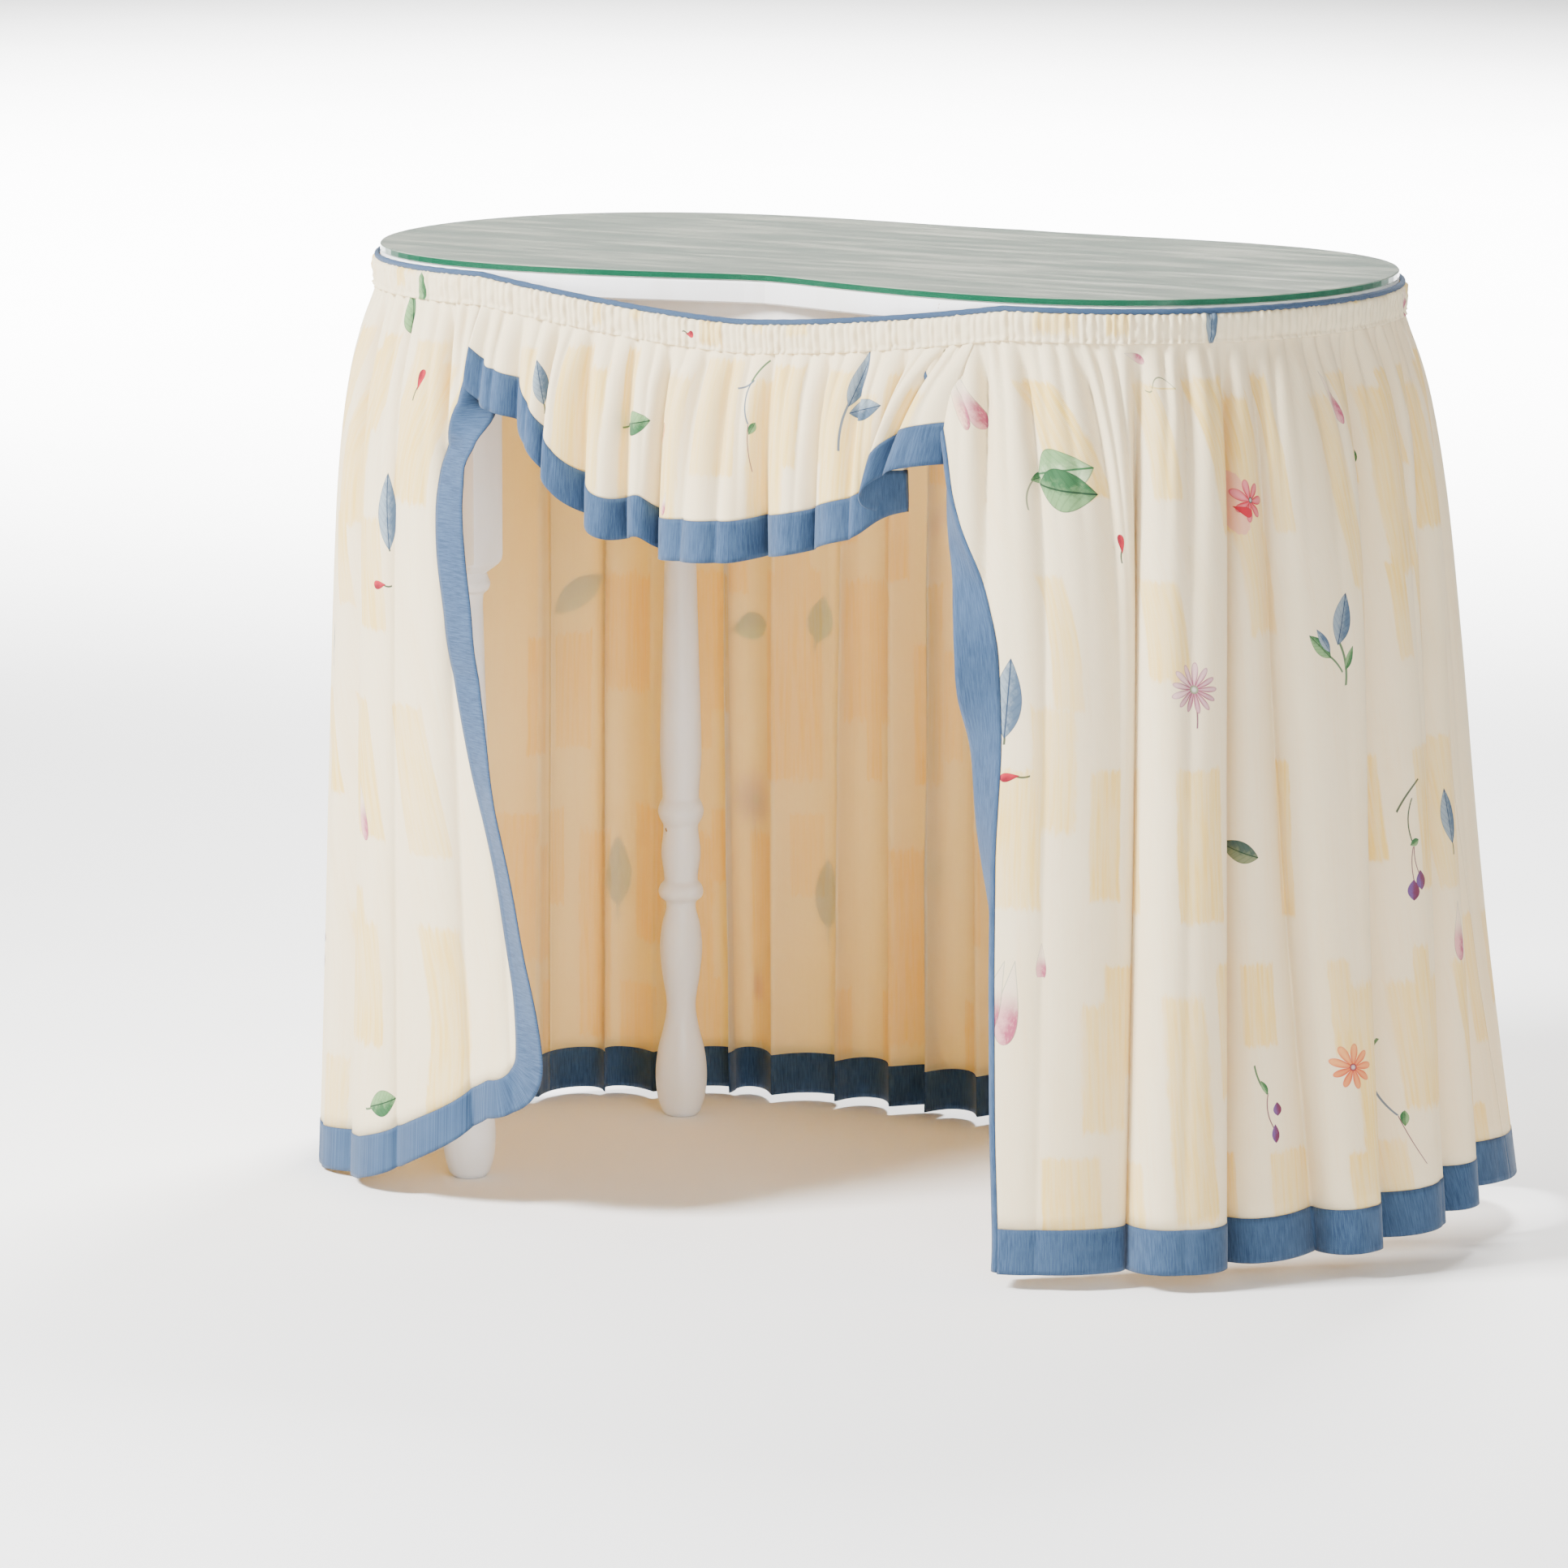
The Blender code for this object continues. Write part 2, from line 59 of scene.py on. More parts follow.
# ---------------------------------------------------------------- driving dimensions
# Kidney outline of the board: x is a sum of sines and y a sum of cosines
KIDNEY_X = {1: 0.3477, 3: -0.0906}
KIDNEY_Y = {1: 0.2617, 2: 0.0105, 3: -0.0710, 4: 0.0034, 5: 0.0144}
SAG = 0.024                  # droop of the free heading across the hollow front
SAG_HALF_WIDTH = 0.24
SAG_POWER = 1.5

HEADING_OUT = 0.0052         # how far the cloth stands from the rim at the heading
GATHER_REACH = 0.034         # how much farther the gathers stand out below it
GATHER_DEPTH = 0.050
NEAREST = 0.0026             # no cloth comes nearer to the rim than this
TUCK = 0.0014                # the cloth's upper edge runs up inside the heading
# Further reach of the crests at the hem, by the position along the rim
SPREAD = ((0.0, 0.045), (0.25, 0.060), (0.65, 0.070), (0.85, 0.045), (1.14, 0.012),
          (1.45, 0.010), (1.65, 0.014), (1.85, 0.018), (2.03, 0.022), (2.28, 0.045))
# Depth of the main folds at the hem, from crest to valley
FOLD_DEPTH = ((0.0, 0.050), (0.60, 0.050), (0.90, 0.042), (1.20, 0.036), (1.70, 0.030),
              (1.90, 0.022), (2.05, 0.018), (2.28, 0.050))
SKIRT_PLEATS = (0.025, 0.0125)         # depths of the two finer levels of folds
VALANCE_PLEATS = (0.020, 0.0095)
VALANCE_FOLD_DEPTH = 0.034
VALANCE_FALL = 0.17
VALANCE_GAP = 0.004          # the valance hangs this far in front of the skirt
SLOW_RIPPLE = 0.0022
FINE_RIPPLE = 0.0014
FINE_PACE = 3.4              # fine ripples to a slow one
# Height of the lower edge of the hem
HEM_LINE = ((0.0, 0.010), (0.25, 0.012), (0.40, 0.015), (0.50, 0.022), (0.62, 0.038),
            (0.80, 0.030), (1.00, 0.008), (1.60, 0.005), (1.89, 0.002), (1.94, 0.008),
            (1.99, 0.026), (2.02, 0.045), (2.07, 0.078), (2.14, 0.090), (2.28, 0.010))
CLOTH_GAUGE = 0.0006
BORDER_GAUGE = 0.0012
RIGHT_SEAM_START = 0.196
LEFT_SEAM_START = 0.252


# ---------------------------------------------------------------- the rim in plan
def kidney_points(steps=1440):
    turns = math.pi - 2 * math.pi * np.arange(steps + 1) / steps
    x = sum(size * np.sin(k * turns) for k, size in KIDNEY_X.items())
    y = sum(size * np.cos(k * turns) for k, size in KIDNEY_Y.items())
    return np.stack([x, y], axis=1)


class Rim:
    """The skirt's line in plan: the kidney, bridged straight across its hollow front."""

    def __init__(self):
        points = kidney_points()
        low = points[:, 1].argmin()
        lobe_x, lobe_y = abs(points[low, 0]), points[low, 1]
        hollow = (points[:, 1] < 0) & (abs(points[:, 0]) < lobe_x)
        points[hollow, 1] = lobe_y
        centre_x = (BOARD_LOW.x + BOARD_HIGH.x) / 2
        self.centre = np.array([centre_x, BOARD_LOW.y - lobe_y])
        step = np.linalg.norm(np.diff(points, axis=0), axis=1)
        self.s = np.concatenate([[0.0], np.cumsum(step)])
        self.length = float(step.sum())
        self.points = points + self.centre
        self.tangents = np.gradient(points, axis=0)
        self.tangents /= np.linalg.norm(self.tangents, axis=1)[:, None]

    def at(self, s):
        """Points, tangents and outward normals, arrays with a last axis of 2."""
        s = np.mod(s, self.length)
        point, tangent = [np.stack([np.interp(s, self.s, table[:, k]) for k in (0, 1)], -1)
                          for table in (self.points, self.tangents)]
        normal = np.stack([tangent[..., 1], -tangent[..., 0]], -1)
        return point, tangent, normal

    def outside(self, s, out, z):
        """Points that stand out from the rim by out, at heights z."""
        point, _, normal = self.at(s)
        return np.concatenate([point + out[..., None] * normal, z[..., None]], -1)


RIM = Rim()
L = RIM.length


def along_rim(table, s):
    return np.interp(np.mod(s, L), *np.array(table).T)


def sag(s):
    point = RIM.at(s)[0] - RIM.centre
    share = np.clip(abs(point[..., 0]) / SAG_HALF_WIDTH, 0, 1)
    return np.where(point[..., 1] < 0, SAG * (1 - share ** SAG_POWER), 0.0)


# ---------------------------------------------------------------- folds
class Folds:
    """One level of folds.

    A row is a valley: its place along the rim at the heading and at the hem, its depth, and the
    drop, lean and spread of the crest that follows it.
    """

    def __init__(self, rows):
        self.top, self.hem, self.depth, self.drop, self.lean, self.spread = np.array(rows).T

    def read(self, s, share):
        """How far the cloth falls back, and how far it shifts along the rim."""
        shape = s.shape
        s, share = s.ravel(), share.ravel()
        edges = self.top + (self.hem - self.top) * share[:, None]
        k = np.clip((s[:, None] >= edges).sum(1) - 1, 0, len(self.top) - 2)
        row = np.arange(len(s))
        left, right = edges[row, k], edges[row, k + 1]
        p = np.clip((s - left) / (right - left), 0, 1)
        arch = np.sin(math.pi * p)
        crest = arch * (1.35 - 0.35 * arch)
        shift = (self.lean[k] + self.spread[k] * (2 * p - 1)) * crest * (right - left)
        valley = self.depth[k] * (1 - p) + self.depth[k + 1] * p
        fall_back = valley * (1 - crest) + self.drop[k] * crest
        return fall_back.reshape(shape), shift.reshape(shape)

    def split(self, pitch, rng, lean):
        """A finer level, whose valleys include these."""
        rows = []
        for k in range(len(self.top) - 1):
            count = max(1, round((self.top[k + 1] - self.top[k]) / pitch))
            cuts = np.concatenate([[0.0], np.cumsum(rng.uniform(0.7, 1.3, count))])
            cuts /= cuts[-1]
            for cut in cuts[:-1]:
                top, hem = [line[k] + (line[k + 1] - line[k]) * cut
                            for line in (self.top, self.hem)]
                rows.append((top, hem, rng.uniform(0.6, 1.0), rng.uniform(0.0, 0.3),
                             rng.uniform(-lean, lean), 0.0))
        rows.append((self.top[-1], self.hem[-1], 1.0, 0.0, 0.0, 0.0))
        return Folds(rows)


# Valleys of the main folds, as the rows of Folds
RIGHT_FOLDS = (
    (0.110, 0.150, 1.00, 0.00, 0.10, 0.28), (0.346, 0.336, 1.20, 0.00, 0.03, 0.32),
    (0.414, 0.399, 1.00, 0.45, 0.00, 0.00), (0.437, 0.460, 0.75, 0.00, 0.06, 0.30),
    (0.535, 0.497, 1.00, 0.05, 0.10, 0.22), (0.620, 0.562, 0.95, 0.10, 0.10, 0.20),
    (0.665, 0.603, 0.90, 0.00, 0.10, 0.20),
)
BACK_FOLDS = (
    (1.150, 1.146, 0.9, 0.0, -0.1, 0.05), (1.196, 1.190, 0.8, 0.2, 0.15, 0.05),
    (1.236, 1.240, 1.0, 0.0, -0.2, 0.05), (1.277, 1.279, 0.9, 0.1, 0.1, 0.05),
    (1.322, 1.330, 1.0, 0.1, -0.15, 0.05), (1.386, 1.389, 0.9, 0.0, 0.2, 0.05),
    (1.431, 1.425, 1.0, 0.1, -0.2, 0.05), (1.488, 1.486, 1.0, 0.1, 0.2, 0.05),
    (1.522, 1.524, 0.8, 0.0, -0.1, 0.05), (1.576, 1.580, 1.0, 0.0, 0.1, 0.05),
)
LEFT_FOLDS = (
    (1.840, 1.846, 0.8, 0.0, -0.1, 0.05), (1.905, 1.915, 0.7, 0.2, 0.1, 0.05),
    (1.960, 1.985, 0.6, 0.3, 0.0, 0.05), (2.010, 2.060, 0.7, 0.2, 0.0, 0.05),
    (2.070, 2.160, 1.0, 0.0, 0.0, 0.05),
)
VALANCE_FOLDS = (
    (-0.270, -0.290, 0.8, 0.3, 0.0, 0.0), (-0.200, -0.190, 0.7, 0.3, -0.1, 0.0),
    (-0.135, -0.131, 0.9, 0.3, -0.25, 0.0), (-0.095, -0.092, 0.8, 0.3, -0.1, 0.0),
    (-0.062, -0.064, 1.1, 0.0, 0.0, 0.22), (0.034, 0.034, 1.0, 0.2, 0.10, 0.0),
    (0.085, 0.080, 0.5, 0.2, 0.0, 0.0), (0.155, 0.163, 1.4, -0.1, -1.0, 0.1),
    (0.222, 0.222, 1.2, 0.0, 0.0, 0.0),
)
FOLD_PITCH = 0.088           # of the main folds that the photo doesn't show


def fill_folds(rng, start, end):
    """Folds of uneven width between two valleys."""
    count = round((end - start) / FOLD_PITCH)
    cuts = np.cumsum(rng.uniform(0.75, 1.25, count + 1))
    cuts = (cuts - cuts[0]) / (cuts[-1] - cuts[0])
    rows = []
    for cut in cuts[1:-1]:
        place = start + (end - start) * cut
        rows.append((place, place + rng.uniform(-0.012, 0.012), rng.uniform(0.7, 1.0),
                     rng.uniform(0.0, 0.3), rng.uniform(-0.15, 0.15), 0.16))
    return rows


def make_levels():
    """The skirt's and the valance's levels of folds, from the main folds to the fine pleats."""
    rng = np.random.default_rng(12)
    rows = list(RIGHT_FOLDS)
    rows += fill_folds(rng, RIGHT_FOLDS[-1][0], BACK_FOLDS[0][0])
    rows += BACK_FOLDS
    rows += fill_folds(rng, BACK_FOLDS[-1][0], LEFT_FOLDS[0][0])
    rows += LEFT_FOLDS
    main = Folds(rows)
    middle = main.split(0.040, rng, 0.25)
    fine = middle.split(0.018, rng, 0.2)
    short = Folds(VALANCE_FOLDS)
    short_middle = short.split(0.036, rng, 0.25)
    return (main, middle, fine), (short, short_middle, short_middle.split(0.017, rng, 0.2))


SKIRT_LEVELS, VALANCE_LEVELS = make_levels()
RIPPLES = np.random.default_rng(5).uniform(-1, 1, (10, 4))


def ripple(s, z, pace=1.0):
    """Slow unevenness of hanging cloth, about -1 to 1."""
    total = np.zeros_like(s)
    for a, b, c, d in RIPPLES:
        wave = (30 + 25 * a) * s + 14 * b * z
        total += np.sin(pace * wave + 3 * math.pi * c) * (0.6 + 0.4 * d)
    return total / 4


def grown(h, depth):
    """0 at the heading, and nearly 1 well below that depth."""
    return 1 - np.exp(-h / depth)


def hang(s, z, valance=False):
    """Points of the cloth at rim positions s and heights z."""
    s, z = np.broadcast_arrays(s, z)
    h = np.clip(CLOTH_TOP - sag(s) - z, 0, None)
    share = np.clip(h / FALL, 0, 1)
    levels = VALANCE_LEVELS if valance else SKIRT_LEVELS
    (back, shift), (back2, shift2), (back3, _) = [level.read(s, share) for level in levels]
    out = HEADING_OUT + GATHER_REACH * grown(h, GATHER_DEPTH)
    out = out + along_rim(SPREAD, s) * share ** 1.4
    if valance:
        main = VALANCE_FOLD_DEPTH * np.clip(h / VALANCE_FALL, 0, 1.1) ** 0.9
        out = out + VALANCE_GAP * np.clip(h / 0.03, 0, 1)
    else:
        main = along_rim(FOLD_DEPTH, s) * grown(h, 0.22)
    # The finer folds are at their deepest near the heading and fade out below
    second, third = VALANCE_PLEATS if valance else SKIRT_PLEATS
    second = second * grown(h, 0.03) * (0.14 + 0.86 * np.exp(-h / 0.14))
    third = third * grown(h + 0.004, 0.010) * np.exp(-h / 0.07)
    out = out - main * back - second * back2 - third * back3
    out = out + SLOW_RIPPLE * ripple(s, z) * np.clip(h / 0.15, 0, 1)
    fine = FINE_RIPPLE * ripple(s, z, FINE_PACE)
    out = out + fine * np.clip(h / 0.03, 0, 1) * np.exp(-h / 0.16)
    along = s + grown(h, 0.10) * shift + 0.6 * np.clip(h / 0.05, 0, 1) * shift2
    return RIM.outside(along, np.maximum(out, NEAREST), z)


# ---------------------------------------------------------------- mesh helpers
def new_object(name, data):
    item = bpy.data.objects.new(name, data)
    bpy.context.scene.collection.objects.link(item)
    return item


def smooth_mesh(name, vertices, faces, flat=None):
    """A smooth mesh with a layer of flat cloth places, one to a face corner."""
    mesh = bpy.data.meshes.new(name)
    mesh.from_pydata(vertices.tolist(), [], faces.tolist())
    layer = mesh.uv_layers.new(name="flat")
    if flat is not None:
        layer.data.foreach_set("uv", flat.ravel().astype(np.float32))
    mesh.shade_smooth()
    return mesh


def cloth(node, *grids):
    """The cloth of a node: grids of points in rows, each with their flat places."""
    vertices, faces, flats = [], [], []
    for points, flat in grids:
        rows, columns = points.shape[:2]
        start = sum(len(v) for v in vertices)
        index = start + np.arange(rows * columns).reshape(rows, columns)
        quads = np.stack([index[:-1, :-1], index[1:, :-1], index[1:, 1:], index[:-1, 1:]], -1)
        vertices.append(points.reshape(-1, 3))
        faces.append(quads.reshape(-1, 4))
        flats.append(flat.reshape(-1, 2))
    vertices, faces, flats = [np.concatenate(a) for a in (vertices, faces, flats)]
    name = node + "_cloth"
    return new_object(name, smooth_mesh(name, vertices, faces, flats[faces.ravel()]))


def ring_quads(rings, columns):
    """Faces of a tube of closed rings, and of the tube closed round its section."""
    index = np.arange(rings * columns).reshape(rings, columns)
    around, onward = np.roll(index, -1, axis=0), np.roll(index, -1, axis=1)
    return np.stack([index, around, np.roll(around, -1, axis=1), onward], -1).reshape(-1, 4)


def flat_places(points, start, heights):
    """Flat cloth places: the mean length along the rows, and the fall below the heading."""
    lower = points[len(points) // 3:]
    lengths = np.linalg.norm(np.diff(lower, axis=1), axis=2).mean(0)
    across = start + np.concatenate([[0.0], np.cumsum(lengths)])
    across = np.broadcast_to(across, points.shape[:2])
    return np.stack([across, -heights], -1)


def solidify(item, gauge, offset=-1.0):
    modifier = item.modifiers.new("gauge", "SOLIDIFY")
    modifier.thickness = gauge
    modifier.offset = offset
    return modifier


def settle(item, node):
    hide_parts(node)
    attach(item, "table")


# ---------------------------------------------------------------- skirt panels
ROWS = 96
HEM_ROWS = 9
BORDER_COLUMNS = 10
EDGE_ROWS = 150              # down the right front edge
PANEL_COLUMNS = 340
QUARTER = (L - LEFT_SEAM_START - RIGHT_SEAM_START) / 4
SEAMS = [RIGHT_SEAM_START + QUARTER * k for k in range(5)]
HOOK_RADIUS = 0.007          # of the bend where a border turns inwards

# Where the seam between the print and the border runs, by height, on the two front edges, and
# how many degrees the border turns inwards beyond it
RIGHT_SEAM_LINE = ((0.03, 0.247), (0.12, 0.243), (0.24, 0.239), (0.34, 0.2365), (0.42, 0.237),
                   (0.50, 0.2336), (0.546, 0.2256), (0.578, 0.2146), (0.60, 0.2078),
                   (0.654, 0.199), (0.689, 0.185), (0.72, 0.165))
RIGHT_TURN = ((0.26, 75), (0.338, 46), (0.36, 38), (0.39, 30), (0.42, 22), (0.442, 5),
              (0.468, -18), (0.488, -20), (0.51, -2), (0.552, 24), (0.598, 52), (0.65, 75))
LEFT_SEAM_LINE = ((0.08, -0.180), (0.139, -0.177), (0.184, -0.1816), (0.218, -0.1905),
                  (0.274, -0.2036), (0.342, -0.2242), (0.413, -0.2433), (0.454, -0.2555),
                  (0.49, -0.2597), (0.522, -0.2658), (0.563, -0.2686), (0.585, -0.2676),
                  (0.613, -0.2639), (0.644, -0.2527), (0.671, -0.245), (0.73, -0.240))
LEFT_TURN = ((0.08, -10), (0.148, -24), (0.19, -34), (0.224, -38), (0.28, -40), (0.32, -40),
             (0.348, -34), (0.394, -22), (0.458, -12), (0.526, -6), (0.57, -10), (0.604, -16),
             (0.62, -28), (0.64, 20), (0.66, 85), (0.70, 100))


def share_rows(count):
    return np.linspace(0, 1, count)[:, None]


def share_columns(count):
    return np.linspace(0, 1, count)[None, :]


def fall_shares():
    """Row positions from 0 to 1, closer together near the heading."""
    t = share_rows(ROWS)
    return 0.35 * t + 0.65 * t ** 2


def hem_z(s):
    return along_rim(HEM_LINE, s)


def by_height(table, z):
    """A table's value at height z, its corners rounded."""
    heights, values = np.array(table, float).T
    shifts = (-0.015, -0.0075, 0.0, 0.0075, 0.015)
    return sum(np.interp(z + shift, heights, values) for shift in shifts) / len(shifts)


def hook(base_s, z, beyond, towards, angle):
    """Points past the seam of a front edge: the border turns inwards round a small radius."""
    base = hang(base_s, z)
    _, tangent, normal = RIM.at(base_s)
    side, angle = np.sign(angle), abs(angle)
    bent = np.minimum(beyond, HOOK_RADIUS * angle)
    straight = beyond - bent
    turned = bent / HOOK_RADIUS
    on = HOOK_RADIUS * np.sin(turned) + straight * np.cos(angle)
    inward = side * (HOOK_RADIUS * (1 - np.cos(turned)) + straight * np.sin(angle))
    plan = base[..., :2] + towards * on[..., None] * tangent - inward[..., None] * normal
    return np.concatenate([plan, base[..., 2:]], -1)


def hem_strip(s, low, width, valance=False):
    """The grid of a border along a lower edge."""
    z = low + width * (1 - share_rows(HEM_ROWS))
    points = hang(s, z, valance)
    return points, flat_places(points, 0, -z)


def right_s(z, a):
    """Rim positions on the right panel: a is 0 at its front seam and 1 at its back seam."""
    return by_height(RIGHT_SEAM_LINE, z) * (1 - a) + SEAMS[1] * a


def make_right_panel():
    a = share_columns(PANEL_COLUMNS)
    low = hem_z(right_s(0.0, a)) + BORDER
    top = CLOTH_TOP - sag(right_s(CLOTH_TOP, a)) + TUCK
    z = top + (low - top) * fall_shares()
    points = hang(right_s(z, a), z)
    return cloth("skirt_right", (points, flat_places(points, BORDER, CLOTH_TOP - z)))


def make_right_border():
    z = np.linspace(CLOTH_TOP, float(hem_z(0.25)) + 0.001, EDGE_ROWS)[:, None]
    beyond = np.linspace(0, BORDER, BORDER_COLUMNS)[None, ::-1]
    z, beyond = np.broadcast_arrays(z, beyond)
    turn = np.radians(by_height(RIGHT_TURN, z))
    points = hook(by_height(RIGHT_SEAM_LINE, z), z, beyond, -1, turn)
    flat = np.stack([BORDER - beyond, z - CLOTH_TOP], -1)
    a = share_columns(PANEL_COLUMNS)
    z = hem_z(right_s(0.0, a)) + BORDER * (1 - share_rows(HEM_ROWS))
    hem = hang(right_s(z, a), z)
    return cloth("border_right", (points, flat), (hem, flat_places(hem, 0.1, CLOTH_TOP - z)))


def make_back_panel(side, k):
    s = SEAMS[k] + (SEAMS[k + 1] - SEAMS[k]) * share_columns(PANEL_COLUMNS)
    low = hem_z(s)
    z = CLOTH_TOP + TUCK + (low + BORDER - CLOTH_TOP - TUCK) * fall_shares()
    points = hang(s, z)
    panel = cloth("skirt_back_" + side, (points, flat_places(points, 0.4 * k, CLOTH_TOP - z)))
    return panel, cloth("hem_back_" + side, hem_strip(s, low, BORDER))


CORNER = 0.055               # outer radius of the border's rounded corner
INNER_CORNER = CORNER - BORDER
LEFT_RUN = L - LEFT_SEAM_START - SEAMS[3]


def left_point(u, w):
    """A point of the left panel: u in from its front edge, w above the hem, w = 1 at the top."""
    inner = np.clip((u - BORDER) / (LEFT_RUN - BORDER), 0, 1)
    z = HEM_Z + w * FALL
    for _ in range(6):
        s = (L + by_height(LEFT_SEAM_LINE, z)) * (1 - inner) + SEAMS[3] * inner
        low = hem_z(s)
        z = low + (CLOTH_TOP - sag(s) + TUCK - low) * w
    return s, z


def left_cloth(u, w):
    s, z = left_point(np.maximum(u, BORDER), w)
    beyond = np.clip(BORDER - u, 0, None)
    hooked = hook(s, z, beyond, 1, np.radians(by_height(LEFT_TURN, z)))
    return np.where((beyond > 0)[..., None], hooked, hang(s, z)), z


def corner_low(u):
    """Height above the hem, as a share, of the seam between print and border."""
    x = np.clip((CORNER - u) / INNER_CORNER, 0, 1)
    return (CORNER - INNER_CORNER * np.sqrt(np.clip(1 - x ** 2, 0, 1))) / FALL


def make_left_panel():
    t = share_columns(PANEL_COLUMNS)
    u = BORDER + (LEFT_RUN - BORDER) * (0.75 * t + 0.25 * t ** 2)[:, ::-1]
    w = 1 + (corner_low(u) - 1) * fall_shares()
    points, z = left_cloth(np.broadcast_to(u, w.shape), w)
    return cloth("skirt_left", (points, flat_places(points, 0.1, CLOTH_TOP - z)))


def make_left_border():
    """The border down the front edge, round the corner and along the hem."""
    across = share_rows(BORDER_COLUMNS)
    turn = np.linspace(0, math.pi / 2, 40)[None, 1:]
    radius = CORNER + (INNER_CORNER - CORNER) * across
    stretches = (
        (across * BORDER, np.linspace(1, CORNER / FALL, 130)[None, :]),
        (CORNER - radius * np.cos(turn), (CORNER - radius * np.sin(turn)) / FALL),
        (np.linspace(CORNER, LEFT_RUN, 260)[None, 1:], across * BORDER / FALL))
    u, w = [np.concatenate(a, 1) for a in zip(*[np.broadcast_arrays(*pair)
                                                for pair in stretches])]
    points, _ = left_cloth(u, w)
    points, u = points[:, ::-1], u[:, ::-1]
    return cloth("border_left", (points, flat_places(points, 0, u)))


# ---------------------------------------------------------------- valance
VALANCE_ENDS = (-0.240, 0.216)
VALANCE_BORDER = 0.033
VALANCE_COLUMNS = 360
SMOOTHING = 17               # columns over which the corners of its lower edge are rounded
# Lower edge of the crescent, by plan x
VALANCE_LINE = ((-0.240, 0.668), (-0.229, 0.652), (-0.198, 0.643), (-0.159, 0.599),
                (-0.135, 0.570), (-0.115, 0.556), (-0.100, 0.552), (-0.074, 0.560),
                (-0.061, 0.541), (0.010, 0.544), (0.030, 0.548), (0.083, 0.558),
                (0.135, 0.574), (0.150, 0.590), (0.166, 0.592), (0.176, 0.604),
                (0.195, 0.626), (0.216, 0.634))


def make_valance():
    s = np.linspace(*VALANCE_ENDS, VALANCE_COLUMNS)[None, :]
    kernel = np.hanning(SMOOTHING)
    kernel /= kernel.sum()
    low = np.pad(np.interp(s[0], *np.array(VALANCE_LINE).T), SMOOTHING // 2, mode="edge")
    low = np.convolve(low, kernel, mode="valid")[None, :]
    top = CLOTH_TOP - sag(s) + TUCK
    z = top + (low + VALANCE_BORDER - top) * share_rows(52)
    points = hang(s, z, valance=True)
    crescent = cloth("valance", (points, flat_places(points, 0.2, CLOTH_TOP - z)))
    return crescent, cloth("valance_border", hem_strip(s, low, VALANCE_BORDER, valance=True))


# ---------------------------------------------------------------- heading
CASING_HEIGHT = 0.021
PUCKERS = (0.0042, 0.0085)   # narrowest and widest
FULLNESS = 2.0               # flat length of the casing's cloth to a length of rim
OUTER_FACE = 0.0035          # the casing's cloth farther out than this puckers
HEADING_COLUMNS = 3000
# Section of the casing: height as a share of its own, and distance from the rim
CASING_PROFILE = (
    (1.0, 0.0030), (0.97, 0.0046), (0.90, 0.0056), (0.78, 0.0060), (0.62, 0.0058),
    (0.46, 0.0057), (0.30, 0.0055), (0.17, 0.0050), (0.09, 0.0044), (0.03, 0.0046),
    (-0.05, 0.0056), (-0.09, 0.0044), (-0.02, 0.0026), (0.5, 0.0024), (0.97, 0.0024))


def make_heading():
    """The shirred casing: a tube with tight puckers and a fuller lip under its stitch line."""
    rng = np.random.default_rng(3)
    s = np.linspace(0, L, HEADING_COLUMNS, endpoint=False)
    cuts = np.cumsum(rng.uniform(*PUCKERS, 500))
    cuts = cuts[cuts < L]
    cuts *= L / cuts[-1]
    k = np.searchsorted(cuts, s)
    left = np.concatenate([[0.0], cuts])[k]
    right = cuts[np.minimum(k, len(cuts) - 1)]
    p = (s - left) / (right - left)
    skew = rng.uniform(-0.25, 0.25, len(cuts) + 1)[k]
    pucker = np.sin(math.pi * np.clip(p + skew * np.sin(math.pi * p) * 0.6, 0, 1))
    strength = rng.uniform(0.35, 1.0, len(cuts) + 1)[k]
    top_z = CASING_TOP - sag(s) + 0.0016 * pucker * strength
    drift = 0.0006 * np.sin(s * 61 + 2 * np.sin(s * 23))
    rings, flats = [], []
    for share, offset in CASING_PROFILE:
        out = np.full(HEADING_COLUMNS, offset)
        if offset > OUTER_FACE:
            lively = 0.75 + 0.35 * np.sin(share * 9 + 5 * strength * math.pi)
            out = out - 0.0008 + 0.0030 * pucker * strength * lively
        z = top_z - CASING_HEIGHT * (1 - share) - (1 - share) * 0.0012 * pucker * strength
        rings.append(RIM.outside(s + (drift + 0.0016 * skew) * (1 - share), out, z))
        flats.append(np.stack([s * FULLNESS, np.full(HEADING_COLUMNS, CASING_HEIGHT * share)], -1))
    quads = ring_quads(len(rings), HEADING_COLUMNS)
    flat = np.concatenate(flats)[quads]
    across = flat[:, :, 0]
    # The faces that close the ring go on past its end
    wrapped = np.ptp(across, axis=1) > 1.0
    across[wrapped] += np.where(across[wrapped] < 1.0, FULLNESS * L, 0.0)
    name = "heading_casing_cloth"
    return new_object(name, smooth_mesh(name, np.concatenate(rings), quads, flat))


PIPING_COLUMNS, PIPING_SIDES = 1100, 12
PIPING_RADIUS = 0.0023
PIPING_OUT = 0.0028          # its middle from the rim


